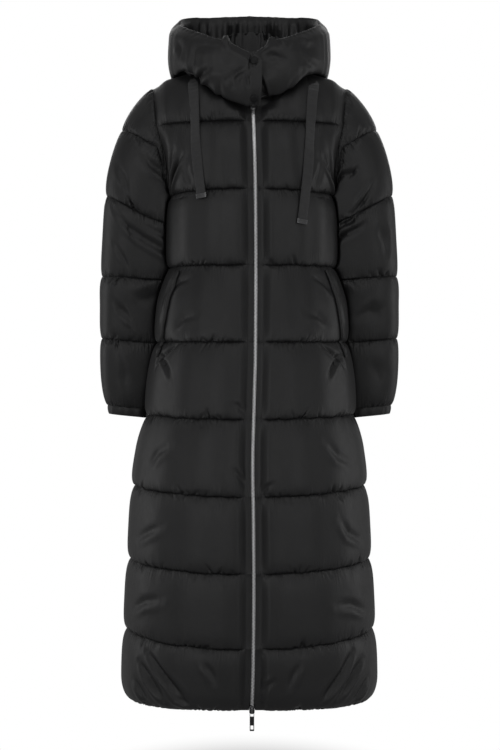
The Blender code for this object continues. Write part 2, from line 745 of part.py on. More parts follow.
def sleeve(front_half, back_half, side, word):
    """The sleeve and its cuff. Each column runs from the armhole over the sleeve's head and down the tube."""
    start, start_inside, outward = armhole_loop(front_half, back_half, side)
    count = len(start)
    bottom = int(np.argmin(start[:, 2]))
    length = along(np.vstack([start, start[:1]]))
    angle = np.interp(length[:-1], [0, length[bottom], length[-1]], [0, math.pi, 2 * math.pi])
    from_top = (1 - np.cos(angle)) / 2
    end = tube_point(np.zeros(count), angle, side)
    up = unit(end - tube_point(np.full(count, 0.5), angle, side))
    far = np.linalg.norm(end - start, axis=1)[:, None]
    down = HEAD_DOWN[0] + HEAD_DOWN[1] * np.sin(math.pi * from_top) - HEAD_DOWN[2] * from_top**3
    sideways = from_top[:, None] ** 3
    leave = unit(outward * (1 - sideways) + sideways * (side, 0, 0) - down[:, None] * (0, 0, 1))
    pull = (HEAD_PULL[0] + HEAD_PULL[1] * from_top**2)[:, None]
    controls = (start, start + leave * far * pull, end + up * far * HEAD_PULL[2], end)
    t = np.linspace(0, 1, 41)[:, None, None]
    head = (
        (1 - t) ** 3 * controls[0]
        + 3 * t * (1 - t) ** 2 * controls[1]
        + 3 * t**2 * (1 - t) * controls[2]
        + t**3 * controls[3]
    )
    height = (start[:, 2] - SLEEVE_TOP_LINE_Z) / (SHOULDER_POINT[1] - SLEEVE_TOP_LINE_Z)
    lengths = np.array([along(head[:, k])[-1] for k in range(count)])
    first_line = np.maximum(SLEEVE_TOP_LINE_DROP * np.clip(height, 0, 1), HEAD_LEAST * lengths)
    rows, lift = [], []
    fullest = np.minimum(1, first_line / FULL_CHANNELS[0])
    column = np.arange(count)
    for fraction in CHANNEL_STEPS:
        rows.append([pick(head[:, k], [first_line[k] * fraction])[0] for k in range(count)])
        lift.append(channel_puff(fraction) * fullest)
    for fraction in CHANNEL_STEPS:
        at = first_line + fraction * (lengths - first_line)
        rows.append([pick(head[:, k], [at[k]])[0] for k in range(count)])
        lift.append(channel_puff(fraction) * np.clip((lengths - first_line) / FULL_CHANNELS[1], 0.3, 1))
    for channel in range(3):
        for fraction in CHANNEL_STEPS:
            rows.append(tube_point(np.full(count, 2.0 * (channel + fraction)), angle, side))
            lift.append(np.full(count, channel_puff(fraction)))
    rows.append(tube_point(np.full(count, 6.0), angle, side))
    lift.append(np.zeros(count))
    base, lift = np.array(rows), np.array(lift) * SLEEVE_PUFF
    beside = 0.55 + 0.45 * np.abs(np.sin(angle))
    lift = lift * beside * (1 + 0.08 * np.sin(2.3 * column + np.arange(len(lift))[:, None]))
    normal = normals_of(base, wrap=True)
    middle = base.mean(axis=1, keepdims=True)
    normal *= np.sign(np.sum(normal * (base - middle), axis=-1).sum())
    outer = base + normal * lift[..., None]
    # The side next to the body lies against it, just clear.
    away = soft_step(0.0, 0.012, np.linalg.norm(base - base[:1], axis=-1))
    clear = body_reach(outer[..., 2], outer[..., 1], side) + SLEEVE_CLEAR
    short = np.maximum(0, clear - side * outer[..., 0]) * away
    outer[..., 0] += side * short
    base[..., 0] += side * short
    inner = base - normal * WALL
    inner[0] = start_inside
    wall(f"sleeve_{word}", outer, inner, SLEEVE_INSIDE, range(count), "nylon", wrap=True)
    cuff(base[-1], normal[-1], word)
    return outer


def cuff(edge, normal, word):
    """The band that holds the sleeve's end: it starts a seam's gap below it, a little narrower."""
    inward = -normal * (1, 1, 0)
    top = edge + inward * 0.0004 - np.array([0, 0, SEAM_GAP])
    bottom = edge + inward * CUFF_IN - np.array([0, 0, CUFF_HEIGHT])
    outer = np.array([top, (top + bottom) / 2 + inward * -0.0008, bottom])
    inner = outer + inward * WALL
    wall(f"cuff_{word}", outer, inner, (0, 2), range(len(edge)), "nylon", wrap=True)


# ---------------------------------------------------------------- hood


def hood_columns(front_half, back_half):
    """The neckline from the zip to the middle of the back: outer edge, inner edge, and the way off."""
    edges = []
    for grids, last in ((front_half, NECK_COLUMN_FRONT), (back_half, NECK_COLUMN_BACK)):
        edges.append(np.stack([grids[0][-1, : last + 1], grids[1][-1, : last + 1]]))
    edge = np.concatenate([edges[0], edges[1][:, -2::-1]], axis=1)
    full = np.empty((2, 2 * edge.shape[1] - 1, 3))
    full[:, ::2], full[:, 1::2] = edge, (edge[:, 1:] + edge[:, :-1]) / 2
    outer, inner = full
    off = unit(np.cross(np.gradient(outer, axis=0), outer - inner))
    off *= np.sign(np.sum(off * ((0, 0, 0.05) - outer), axis=1, keepdims=True))
    full[:, 1::2] += off[1::2] * NECK_TWIST
    return list(zip(outer, inner, off))


def hood_section(azimuth, side, seam=None, tuck=0.0, turn=None):
    """One section of the hood: the outer points from the seam to the rim, and the inner points beside them.

    tuck moves it inward, for the flap that lies below. Without a seam its lower edge hangs free.
    """
    under_r, under_z, low_r, low_z, belly_r, belly_z, high_r, high_z, rim_r, rim_z = read(
        HOOD, "azimuth", azimuth, *list(HOOD)[1:]
    )
    roll_r, roll_z, deep_r, deep_z, wall_r, wall_z = read(
        HOOD_INSIDE, "azimuth", azimuth, *list(HOOD_INSIDE)[1:]
    )
    turn = math.radians(azimuth if turn is None else turn)
    out = np.array([side * math.sin(turn), -math.cos(turn), 0.0])

    def at(radius, z):
        return out * radius + np.array([0, 0, z])

    outer = [
        at(low_r - tuck, low_z + tuck),
        at(belly_r - tuck, belly_z),
        at(high_r - tuck, high_z),
        at(rim_r - tuck * 0.9, rim_z - tuck * 0.15),
    ]
    if seam is None:
        outer = [
            at(low_r - 0.0100, low_z + 0.0060),
            at(low_r - 0.0085, low_z + 0.0020),
            at(low_r - 0.0045, low_z - 0.0005),
        ] + outer
        inner = [
            at(low_r - 0.0095, low_z + 0.0100),
            at(low_r - 0.0060, low_z + 0.0180),
            at(low_r - 0.0010, low_z + 0.0260),
            at(belly_r - 0.0125, belly_z - 0.0040),
            at(high_r - 0.0110, high_z - 0.0100),
            at(rim_r - 0.0010, rim_z - 0.0150),
            at(rim_r - 0.0035, rim_z - 0.0010),
        ]
    else:
        edge, edge_inside, off = seam
        up = unit(edge - edge_inside)
        rise = HOOD_FOLD_INSIDE + FOLD_RISES[2] * soft_step(*FOLD_RISES[:2], azimuth)
        outer = [
            edge + off * NECK_GAP,
            edge + off * HOOD_FOLD_IN + up * HOOD_FOLD_UP,
            at(under_r - tuck * 0.5, under_z + tuck * 0.2),
        ] + outer
        inner = [
            edge_inside + off * NECK_GAP,
            edge_inside + off * HOOD_FOLD_INSIDE + up * rise,
            at(roll_r - tuck * 0.6, roll_z),
            at(deep_r - tuck, deep_z),
            at(wall_r - tuck, wall_z),
            at(rim_r - HOOD_PAD_AT_RIM - tuck * 0.9, rim_z - 0.016 - tuck * 0.15),
            at(rim_r - HOOD_PAD_AT_RIM * 0.6 - tuck * 0.9, rim_z - 0.001 - tuck * 0.15),
        ]
    stations = np.arange(7.0)
    fine = np.linspace(0, 6, HOOD_ROWS)
    return [
        np.stack([through(stations, np.array(line)[:, k], fine) for k in range(3)], axis=1)
        for line in (outer, inner)
    ]


def hood_part(name, sections, first_shift=0.0, last_shift=0.0):
    """A piece of the hood through its sections. Its edges move along X by half a seam's gap."""
    outer, inner = (np.stack(grids, axis=1) for grids in zip(*sections))
    for grid in (outer, inner):
        grid[:, 0, 0] += first_shift
        grid[:, -1, 0] += last_shift
    wall(name, outer, inner, range(HOOD_ROWS), range(outer.shape[1]), "nylon")
    return outer, inner


def hood(neck_left, neck_right):
    """The hood's two sides, which cross at the throat, and the centre piece between them at the back."""
    left, right = [], []
    for seam in neck_left[:-2]:
        azimuth = azimuth_of(seam[0], 1)
        tuck = LAP_BELOW * (1 - soft_step(12, 32, azimuth))
        left.append(hood_section(azimuth, 1, seam, tuck))
    for x in LAP_COLUMNS:
        # The lap past the middle hangs free of the other side's neckline.
        right.append(hood_section(0, -1, turn=-math.degrees(math.asin(x / HOOD["belly_r"][0]))))
    for seam in neck_right[:-2]:
        right.append(hood_section(max(0.0, azimuth_of(seam[0], -1)), -1, seam))
    for grid in right[len(LAP_COLUMNS)]:
        grid[0] += CORNER_CLEAR * neck_right[0][2]
    centre = [hood_section(azimuth_of(seam[0], 1), 1, seam) for seam in neck_left[-3:]]
    centre += [hood_section(azimuth_of(seam[0], -1), -1, seam) for seam in neck_right[-2:-4:-1]]
    half_gap = 0.75 * SEAM_GAP
    hood_part("hood_left", left, 0, half_gap)
    upper = hood_part("hood_right", right, 0, -half_gap)
    hood_part("hood_centre", centre, -half_gap, half_gap)
    return upper


def azimuth_of(point, side):
    return math.degrees(math.atan2(side * point[0], -point[1]))


# ---------------------------------------------------------------- zip


def zip_line(panels):
    """The middle of the slot between the fronts at each row, and the way out of it."""
    left, right = panels
    return (left[0][:, 0] + right[0][:, 0]) / 2, unit(left[3][:, 0] + right[3][:, 0])


def zip_chain(panels):
    """The closed teeth as one plain ridge, level with the fronts."""
    middle, out = zip_line(panels)
    levels = [z for z in middle[:, 2] if CHAIN_FOOT_Z < z < CHAIN_TOP_Z]
    sections = []
    for z in [CHAIN_FOOT_Z] + levels + [CHAIN_TOP_Z]:
        place = np.interp(z, middle[:, 2], np.arange(len(middle)))
        point, way = at_index(middle, place), unit(at_index(out, place))
        across = np.array([CHAIN_HALF, 0, 0])
        front_face, back_face = point + way * CHAIN_PROUD, point - way * CHAIN_DEEP
        sections.append([front_face - across, front_face + across, back_face + across, back_face - across])
    strip("zip_chain", sections, "silver")


def zip_tape(word, panel, side):
    """The woven tape behind one front, from the chain's middle to the end of the plain strip."""
    _, inner, _, normal = panel
    rows = inner_rows(len(inner))
    near, far, out = inner[rows, 0], inner[rows, 1], normal[rows, 0]
    z = near[:, 2]
    sections = []
    for height in [TAPE_FOOT_Z] + [v for v in z if TAPE_FOOT_Z < v < TAPE_TOP_Z] + [TAPE_TOP_Z]:
        place = np.interp(height, z, np.arange(len(z)))
        start, stop, way = at_index(near, place), at_index(far, place), unit(at_index(out, place))
        stop = start + TAPE_SHARE * (stop - start)
        start[0] = read(ZIP, "z", height, "x")[0] + side * SEAM_GAP
        upper, lower = way * TAPE_BEHIND, way * (TAPE_BEHIND + TAPE_THICK)
        sections.append([start - upper, stop - upper, stop - lower, start - lower])
    strip(f"zip_tape_{word}", sections, "zip tape")


def slider_upper(panels):
    """The upper slider lies under the flap: a plate over the teeth and a neck in the slot."""
    middle, out = zip_line(panels)
    sections = []
    for z in UPPER_SLIDER_Z:
        point = at_height(middle, z)
        way = unit(at_index(out, np.interp(z, middle[:, 2], np.arange(len(middle)))))
        outline = zip(UPPER_SLIDER["across"], UPPER_SLIDER["proud"])
        sections.append([point + (across, 0, 0) + way * proud for across, proud in outline])
    strip("slider_upper", sections, "gunmetal")


def slider_lower(panels):
    """The slider at the hem, its arch, and the pull tab that turns in the arch."""
    middle, _ = zip_line(panels)
    face = at_height(middle, PIVOT_Z)
    face[0] = read(ZIP, "z", PIVOT_Z, "x")[0]
    face[1] -= SLIDER_PROUD
    back = face[1] + SLIDER_PROUD + SLIDER_DEEP
    sections = []
    for z, half in zip(SLIDER["z"], SLIDER["half_width"]):
        corners = ((-half, face[1]), (half, face[1]), (half, back), (-half, back))
        sections.append([(face[0] + x, y, z) for x, y in corners])
    body = strip("slider_lower", sections, "gunmetal")
    outline = list(zip(ARCH["before"], ARCH["z"]))
    arch = strip(
        "slider_arch",
        [[(face[0] + x, face[1] - before, z) for before, z in outline] for x in (-ARCH_HALF, ARCH_HALF)],
        "gunmetal",
    )
    COAT.objects.unlink(arch)
    HELPERS.objects.link(arch)
    arch.hide_render = True
    arch.display_type = "WIRE"
    join = body.modifiers.new("arch", "BOOLEAN")
    join.operation = "UNION"
    join.object = arch
    pull_tab((face[0], face[1] - PIVOT_BEFORE, PIVOT_Z))


def rounded_box(half_width, top, bottom, radius):
    """A cyclic outline of a box with round corners, from its top and bottom distances below the origin."""
    points = []
    for turn, x, z in (
        (0, half_width - radius, radius - bottom),
        (90, half_width - radius, -top - radius),
        (180, radius - half_width, -top - radius),
        (270, radius - half_width, radius - bottom),
    ):
        for step in (0, 45, 90):
            angle = math.radians(turn + step - 90)
            points.append((x + radius * math.cos(angle), z + radius * math.sin(angle)))
    return points


def pull_tab(pivot):
    """A flat tab with two windows. Its origin is on the hinge, in the middle of its crossbar."""
    outline = bpy.data.curves.new("pull_tab", "CURVE")
    outline.dimensions = "2D"
    outline.fill_mode = "BOTH"
    outline.extrude = TAB_HALF_THICK
    loops = [rounded_box(TAB_HALF, -TAB_BAR, TAB_END, 0.0012)]
    for top, bottom, half_width in zip(*TAB_WINDOWS.values()):
        loops.append(rounded_box(half_width, top, bottom, 0.0006))
    for loop in loops:
        spline = outline.splines.new("POLY")
        spline.points.add(len(loop) - 1)
        for point, (x, z) in zip(spline.points, loop):
            point.co = (x, z, 0, 1)
        spline.use_cyclic_u = True
    tab = bpy.data.objects.new("pull_tab", outline)
    COAT.objects.link(tab)
    tab.location = pivot
    tab.rotation_euler = (math.pi / 2, 0, 0)
    paint(tab, "gunmetal")


# ---------------------------------------------------------------- pockets, snaps and drawcords


def down_front(panel, share):
    """A front's outer points and normals, row by row, at a share of the way from the zip to the side seam."""
    outer, _, _, normal = panel
    points, ways = [], []
    for row, row_normal in zip(outer[:UNDERARM_ROW], normal[:UNDERARM_ROW]):
        distance = along(row)
        place = np.interp(share * distance[-1], distance, np.arange(len(row)))
        points.append(at_index(row, place))
        ways.append(at_index(row_normal, place))
    return np.array(points), np.array(ways)


def pocket(word, panel):
    """The pocket mouth: two lips with a groove between them, lying on the front."""
    low, high = POCKET["z"][-1], POCKET["z"][0]
    middle, _ = down_front(panel, POCKET["share"].mean())
    length = along(panel[0][UNDERARM_ROW // 2])[-1]
    sections = []
    for z in [low] + [z for z in middle[:, 2] if low + POCKET_END < z < high - POCKET_END] + [high]:
        share, width = (np.interp(-z, -POCKET["z"], POCKET[name]) for name in ("share", "width"))
        lip = POCKET_LIP * (0.55 + 0.45 * soft_step(0, 0.02, min(z - low, high - z)))
        profile = (
            (-0.50, POCKET_EDGE),
            (-0.30, POCKET_EDGE + lip),
            (-0.02, POCKET_EDGE + 0.15 * lip),
            (0.25, POCKET_EDGE + 0.75 * lip),
            (0.50, POCKET_EDGE),
            (0.50, POCKET_REST),
            (0.00, POCKET_REST),
            (-0.50, POCKET_REST),
        )
        section = []
        for across, proud in profile:
            points, ways = down_front(panel, share + across * width / length)
            place = np.interp(z, points[:, 2], np.arange(len(points)))
            section.append(at_index(points, place) + unit(at_index(ways, place)) * proud)
        sections.append(section)
    strip(f"pocket_{word}", sections, "nylon")


def snap(name, flap, place):
    """A cloth-covered snap cap on the upper flap's outer side."""
    x, z = place
    lines = flap[0][LOWEST_HOOD_ROW:, : len(LAP_COLUMNS)]

    def on_flap(x, z):
        points = np.array([at_height(lines[:, j], z) for j in range(lines.shape[1])])[::-1]
        return np.array([np.interp(x, points[:, 0], points[:, k]) for k in range(3)])

    middle, step = on_flap(x, z), 0.004
    way = unit(np.cross(on_flap(x + step, z) - middle, on_flap(x, z + step) - on_flap(x, z - step)))
    work = bmesh.new()
    bmesh.ops.create_cone(
        work, cap_ends=True, segments=24, radius1=SNAP_RADIUS, radius2=SNAP_RADIUS * 0.94, depth=SNAP_THICK
    )
    mesh = bpy.data.meshes.new(name)
    work.to_mesh(mesh)
    work.free()
    cap = bpy.data.objects.new(name, mesh)
    COAT.objects.link(cap)
    cap.location = middle + way * (SNAP_THICK / 2 + SNAP_LIFT)
    cap.rotation_mode = "QUATERNION"
    cap.rotation_quaternion = Vector(way).to_track_quat("Z", "Y")
    finish(cap, "nylon")


def drawcord(word, route):
    """A flat tape along its route, and the metal end below it."""
    line = np.stack([route["x"], route["y"], route["z"]], axis=1)
    distance = along(line)
    stations = np.linspace(0, distance[-1], DRAWCORD_SECTIONS)
    points = np.stack([through(distance, line[:, k], stations) for k in range(3)], axis=1)
    turns = np.radians(through(distance, route["turn"], stations)) * np.sign(line[0, 0])
    across = np.stack([np.cos(turns), np.sin(turns), np.zeros(len(turns))], axis=1)
    down = unit(np.gradient(points, axis=0))
    across = unit(across - down * np.sum(across * down, axis=1, keepdims=True))
    face = np.cross(across, down)
    wide, thick = across * DRAWCORD_WIDTH / 2, face * DRAWCORD_THICK / 2
    corners = (points - wide - thick, points + wide - thick, points + wide + thick, points - wide + thick)
    strip(f"drawcord_{word}", np.stack(corners, axis=1), "tape")
    bpy.ops.mesh.primitive_cube_add(size=1)
    end = bpy.context.object
    end.name = f"drawcord_end_{word}"
    for collection in list(end.users_collection):
        collection.objects.unlink(end)
    COAT.objects.link(end)
    end.data.transform(Matrix.Diagonal((*CORD_END_SIZE, 1)))
    centre = points[-1] + down[-1] * (SEAM_GAP + CORD_END_SIZE[2] / 2)
    axes = np.stack([across[-1], face[-1], -down[-1]], axis=1)
    end.matrix_world = Matrix.Translation(centre) @ Matrix(axes.tolist()).to_4x4()
    edge = end.modifiers.new("edges", "BEVEL")
    edge.width = 0.0005
    edge.segments = 1
    finish(end, "silver")


# ---------------------------------------------------------------- the model


for leftover in list(bpy.data.objects):
    bpy.data.objects.remove(leftover, do_unlink=True)
COAT = bpy.data.collections.new("long puffer coat")
HELPERS = bpy.data.collections.new("helpers")
for collection in (COAT, HELPERS):
    bpy.context.scene.collection.children.link(collection)

front_left = front("front_left", 1)
front_right = front("front_right", -1)
back_right, back_left = back_panel()
sleeve(front_left, back_left, 1, "left")
sleeve(front_right, back_right, -1, "right")
neck_left = hood_columns(front_left, back_left)
neck_right = hood_columns(front_right, back_right)
upper_flap = hood(neck_left, neck_right)
fronts = (front_left, front_right)
zip_chain(fronts)
slider_upper(fronts)
slider_lower(fronts)
for word, panel, side in (("left", front_left, 1), ("right", front_right, -1)):
    zip_tape(word, panel, side)
    pocket(word, panel)
for name, place in SNAPS.items():
    snap(name, upper_flap, place)
drawcord("left", DRAWCORD_LEFT)
drawcord("right", DRAWCORD_RIGHT)
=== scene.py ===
# %% [markdown]
# # A long hooded puffer coat
# A puffer coat is two layers of thin nylon with loose filling between them, sewn through in level lines.
# The sewn lines stay flat and the cloth between them swells, so each channel is a soft roll that gathers
# where it meets its stitching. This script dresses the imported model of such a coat. It draws the cut of
# each piece again from the same few tables, with many more points, then fills it, gathers it along its
# seams and gives it cloth, thread and metal.

# %% Load the frame
import math

import bmesh
import bpy
import numpy as np
from mathutils import Matrix, Vector


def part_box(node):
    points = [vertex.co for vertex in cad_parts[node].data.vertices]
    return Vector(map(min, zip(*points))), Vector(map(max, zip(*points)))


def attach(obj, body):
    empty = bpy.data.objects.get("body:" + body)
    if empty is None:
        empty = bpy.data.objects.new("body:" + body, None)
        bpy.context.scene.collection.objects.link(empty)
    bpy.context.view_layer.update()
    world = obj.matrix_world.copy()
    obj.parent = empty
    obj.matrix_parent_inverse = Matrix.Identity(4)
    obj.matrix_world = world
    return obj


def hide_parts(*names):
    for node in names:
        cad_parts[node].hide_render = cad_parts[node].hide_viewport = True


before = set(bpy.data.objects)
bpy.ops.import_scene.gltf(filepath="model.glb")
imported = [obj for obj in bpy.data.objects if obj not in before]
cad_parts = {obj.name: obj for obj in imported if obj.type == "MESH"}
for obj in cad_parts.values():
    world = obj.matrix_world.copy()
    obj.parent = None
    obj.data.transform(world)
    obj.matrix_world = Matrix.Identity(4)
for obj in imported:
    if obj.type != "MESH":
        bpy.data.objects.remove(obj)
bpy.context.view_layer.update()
print("nodes in the frame:", len(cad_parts))

# %% [markdown]
# ## The camera
# A coat is best seen whole and level, from a few metres away, so that its sides don't lean. The lens
# follows from the height that the picture takes in where the coat hangs.

# %% Place the camera
CAMERA_AT = (0.0014, -2.6, -0.590)
HEIGHT_SEEN = 1.5
SENSOR = 36.0
lens = bpy.data.cameras.new("camera")
lens.sensor_width = SENSOR
lens.lens = SENSOR / HEIGHT_SEEN * -CAMERA_AT[1]
camera = bpy.data.objects.new("camera", lens)
camera.location = CAMERA_AT
camera.rotation_euler = (math.pi / 2, 0, 0)
bpy.context.scene.collection.objects.link(camera)
bpy.context.scene.camera = camera
print("lens", round(lens.lens, 1), "mm")

# %% [markdown]
# ## Curves from short tables
# A garment's shape is given by a few sections, as a pattern cutter's is. Between the sections the script
# reads a smooth curve that never swings past its values, so that a waist stays a waist.

# %% Read smooth curves
def table(columns, rows):
    """A table as a dictionary of columns."""
    return {name: np.array(values, float) for name, values in zip(columns.split(), zip(*rows))}


def through(stations, values, at):
    """A smooth curve through the values, without overshoot, read at some stations."""
    steps = np.diff(stations)
    slopes = np.diff(values) / steps
    before, after = slopes[:-1], slopes[1:]
    same_way = before * after > 0
    safe = np.where(same_way, before + after, 1.0)
    middle = np.where(same_way, 2 * before * after / safe, 0.0)
    tangents = np.concatenate([slopes[:1], middle, slopes[-1:]])
    at = np.clip(at, stations[0], stations[-1])
    i = np.clip(np.searchsorted(stations, at, side="right") - 1, 0, len(steps) - 1)
    t = (at - stations[i]) / steps[i]
    rise = steps[i] * ((t**3 - 2 * t**2 + t) * tangents[i] + (t**3 - t**2) * tangents[i + 1])
    return (2 * t**3 - 3 * t**2 + 1) * values[i] + (3 * t**2 - 2 * t**3) * values[i + 1] + rise


def read(columns, key, at, *names):
    """Some columns of a table, read smoothly at a station."""
    return [through(columns[key], columns[name], at) for name in names]


def soft_step(low, high, at):
    t = np.clip((at - low) / (high - low), 0, 1)
    return t * t * (3 - 2 * t)


def along(line):
    """The distance of each point from a line's start."""
    return np.concatenate([[0], np.cumsum(np.linalg.norm(np.diff(line, axis=0), axis=1))])


def pick(line, distances):
    """The points of a line at some distances from its start."""
    at = along(line)
    return np.stack([np.interp(distances, at, line[:, k]) for k in range(3)], axis=1)


def at_index(values, index):
    """A value between two entries of a list."""
    low = min(int(index), len(values) - 2)
    return values[low] + (index - low) * (values[low + 1] - values[low])


def at_height(line, z):
    """The point of a rising line at a height."""
    return np.array([np.interp(z, line[:, 2], line[:, k]) for k in range(3)])


def unit(vectors):
    return vectors / np.maximum(np.linalg.norm(vectors, axis=-1, keepdims=True), 1e-12)


def normals_of(grid, wrap=False):
    """The normal at each point of a grid, from its neighbours."""
    if wrap:
        across = np.roll(grid, -1, axis=1) - np.roll(grid, 1, axis=1)
    else:
        across = np.gradient(grid, axis=1)
    return unit(np.cross(across, np.gradient(grid, axis=0)))


def up_from_foot(grid):
    """How far each point lies up its own column of a grid."""
    steps = np.linalg.norm(np.diff(grid, axis=0), axis=2)
    return np.concatenate([np.zeros((1, grid.shape[1])), np.cumsum(steps, axis=0)])


def across_from_edge(grid):
    """How far each point lies along its own row of a grid."""
    steps = np.linalg.norm(np.diff(grid, axis=1), axis=2)
    return np.concatenate([np.zeros((grid.shape[0], 1)), np.cumsum(steps, axis=1)], axis=1)


# %% [markdown]
# ## Walls of cloth
# Each piece is a closed wall: an outer face with all the folds, a plain inner face, and the turned edge
# between them. The two faces have unlike numbers of points, so their edges are zipped together with
# triangles. The cloth's own coordinates, in metres, are kept as a UV map for the weave.

# %% Build a wall
SEAM_GAP = 0.0003  # between two pieces that are sewn together


def rim(fine, coarse):
    """Triangles between two edges that start and end together: lists of (vertex, station)."""
    faces = []
    i = j = 0
    while i < len(fine) - 1 or j < len(coarse) - 1:
        if j == len(coarse) - 1 or (i < len(fine) - 1 and fine[i + 1][1] <= coarse[j + 1][1]):
            faces.append((fine[i][0], fine[i + 1][0], coarse[j][0]))
            i += 1
        else:
            faces.append((fine[i][0], coarse[j + 1][0], coarse[j][0]))
            j += 1
    return faces


def cloth_places(outer, wrap):
    """The cloth's own coordinates in metres, with one more column where the grid closes on itself."""
    closed = np.concatenate([outer, outer[:, :1]], axis=1) if wrap else outer
    u = across_from_edge(closed).mean(axis=0)
    v = up_from_foot(closed).mean(axis=1)
    return np.stack(np.meshgrid(u, v), axis=-1)


def wall(name, outer, inner, every=4, wrap=False):
    """A closed wall from an outer grid and an inner grid, of which it keeps only some rows and columns."""
    count_v, count_u = outer.shape[:2]
    rows = sorted({*range(0, count_v, every), count_v - 1})
    last = count_u if wrap else count_u - 1
    stops = sorted({*range(0, last, every), last})
    inner_id = {}
    points = outer.reshape(-1, 3).tolist()
    for i in rows:
        for j in stops:
            if wrap and j == count_u:
                inner_id[i, j] = inner_id[i, 0]
                continue
            inner_id[i, j] = len(points)
            points.append(inner[i, j].tolist())

    def outer_id(i, j):
        return i * count_u + j % count_u

    faces, places = [], []
    place = cloth_places(outer, wrap)
    for i in range(count_v - 1):
        for j in range(last):
            faces.append((outer_id(i, j), outer_id(i, j + 1), outer_id(i + 1, j + 1), outer_id(i + 1, j)))
            places += [place[i, j], place[i, j + 1], place[i + 1, j + 1], place[i + 1, j]]
    for a, b in zip(rows, rows[1:]):
        for c, d in zip(stops, stops[1:]):
            faces.append((inner_id[a, c], inner_id[b, c], inner_id[b, d], inner_id[a, d]))
            places += [place[a, c], place[b, c], place[b, d], place[a, d]]
    for i in (0, count_v - 1):
        fine = [(outer_id(i, j), j) for j in range(last + 1)]
        for face in rim(fine, [(inner_id[i, j], j) for j in stops]):
            faces.append(face)
            places += [place[i, 0]] * 3
    if not wrap:
        for j in (0, count_u - 1):
            fine = [(outer_id(i, j), i) for i in range(count_v)]
            for face in rim(fine, [(inner_id[i, j], i) for i in rows]):
                faces.append(face)
                places += [place[0, j]] * 3
    return solid(name, points, faces, np.array(places))


def solid(name, points, faces, places=None):
    """A mesh object with its faces pointing out, shaded smooth but for its folded edges."""
    mesh = bpy.data.meshes.new(name)
    mesh.from_pydata(points, [], faces)
    if places is not None:
        mesh.uv_layers.new(name="cut").data.foreach_set("uv", places.astype(np.float32).ravel())
    work = bmesh.new()
    work.from_mesh(mesh)
    bmesh.ops.recalc_face_normals(work, faces=work.faces)
    if work.calc_volume(signed=True) < 0:
        bmesh.ops.reverse_faces(work, faces=work.faces)
    work.to_mesh(mesh)
    work.free()
    mesh.shade_smooth()
    mesh.set_sharp_from_angle(angle=math.radians(62))
    obj = bpy.data.objects.new(name, mesh)
    bpy.context.scene.collection.objects.link(obj)
    return obj


def strip(name, sections):
    """A closed bar through sections that have the same number of corners."""
    sections = np.asarray(sections, float)
    count, corners = sections.shape[:2]
    faces = [tuple(range(corners)), tuple(range((count - 1) * corners, count * corners))]
    for i in range(count - 1):
        for k in range(corners):
            m = (k + 1) % corners
            low, high = i * corners, (i + 1) * corners
            faces.append((low + k, low + m, high + m, high + k))
    return solid(name, sections.reshape(-1, 3).tolist(), faces)


def dress(piece, material, slot, *nodes, body="coat"):
    """Gives a piece its material, lets it ride on a body and, where nodes are named, stand for them."""
    piece.data.materials.clear()
    piece.data.materials.append(material)
    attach(piece, body)
    if nodes:
        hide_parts(*nodes)
    return piece


# %% [markdown]
# ## Finishes
# Down-proof nylon is woven so tightly that its threads can hardly be seen, and then pressed until it
# shines a little. Its colour hardly varies, so what makes it look real is the gloss: a little rougher
# here and there, with the faint grain of the weave and the puckers that stand up and down beside the
# stitching. The puckers are too fine to be points of the mesh, so they are a bump that is as strong as the
# cloth is pinched there. The weave and the unevenness serve several finishes as node groups.

# %% Node groups for weave and unevenness
def group(name, inputs, outputs):
    """A new shader node group with its sockets, and the nodes at its two ends."""
    made = bpy.data.node_groups.new(name, "ShaderNodeTree")
    for socket, value in inputs.items():
        made.interface.new_socket(socket, in_out="INPUT", socket_type="NodeSocketFloat").default_value = value
    for socket in outputs:
        made.interface.new_socket(socket, in_out="OUTPUT", socket_type="NodeSocketFloat")
    return made, made.nodes.new("NodeGroupInput"), made.nodes.new("NodeGroupOutput")


def maths(tree, operation, a, b=None, clamp=False):
    """A Math node on two values or sockets, and its result."""
    node = tree.nodes.new("ShaderNodeMath")
    node.operation = operation
    node.use_clamp = clamp
    for socket, value in zip(node.inputs, (a, b)):
        if value is None:
            continue
        if isinstance(value, (int, float)):
            socket.default_value = value
        else:
            tree.links.new(value, socket)
    return node.outputs[0]


def weave_group():
    """Threads over and under: two crossed waves on the cloth's own coordinates."""
    made, start, end = group("plain weave", {"Threads per metre": 2600.0, "Flat": 0.5}, ["Height"])
    links = made.links
    cut = made.nodes.new("ShaderNodeUVMap")
    cut.uv_map = "cut"
    split = made.nodes.new("ShaderNodeSeparateXYZ")
    links.new(cut.outputs[0], split.inputs[0])
    turns = maths(made, "MULTIPLY", start.outputs[0], math.pi)
    warp = maths(made, "SINE", maths(made, "MULTIPLY", split.outputs[0], turns))
    weft = maths(made, "SINE", maths(made, "MULTIPLY", split.outputs[1], turns))
    cross = maths(made, "ABSOLUTE", maths(made, "MULTIPLY", warp, weft))
    links.new(maths(made, "POWER", cross, start.outputs[1]), end.inputs[0])
    return made


def uneven_group():
    """Soft unevenness at two sizes, as a value about a half."""
    made, start, end = group("soft unevenness", {"Scale": 9.0, "Fine": 60.0}, ["Broad", "Small"])
    place = made.nodes.new("ShaderNodeTexCoord")
    for socket, result, detail in ((start.outputs[0], end.inputs[0], 3.0), (start.outputs[1], end.inputs[1], 4.0)):
        noise = made.nodes.new("ShaderNodeTexNoise")
        noise.inputs["Detail"].default_value = detail
        noise.inputs["Roughness"].default_value = 0.55
        made.links.new(place.outputs["Object"], noise.inputs["Vector"])
        made.links.new(socket, noise.inputs["Scale"])
        made.links.new(noise.outputs["Fac"], result)
    return made


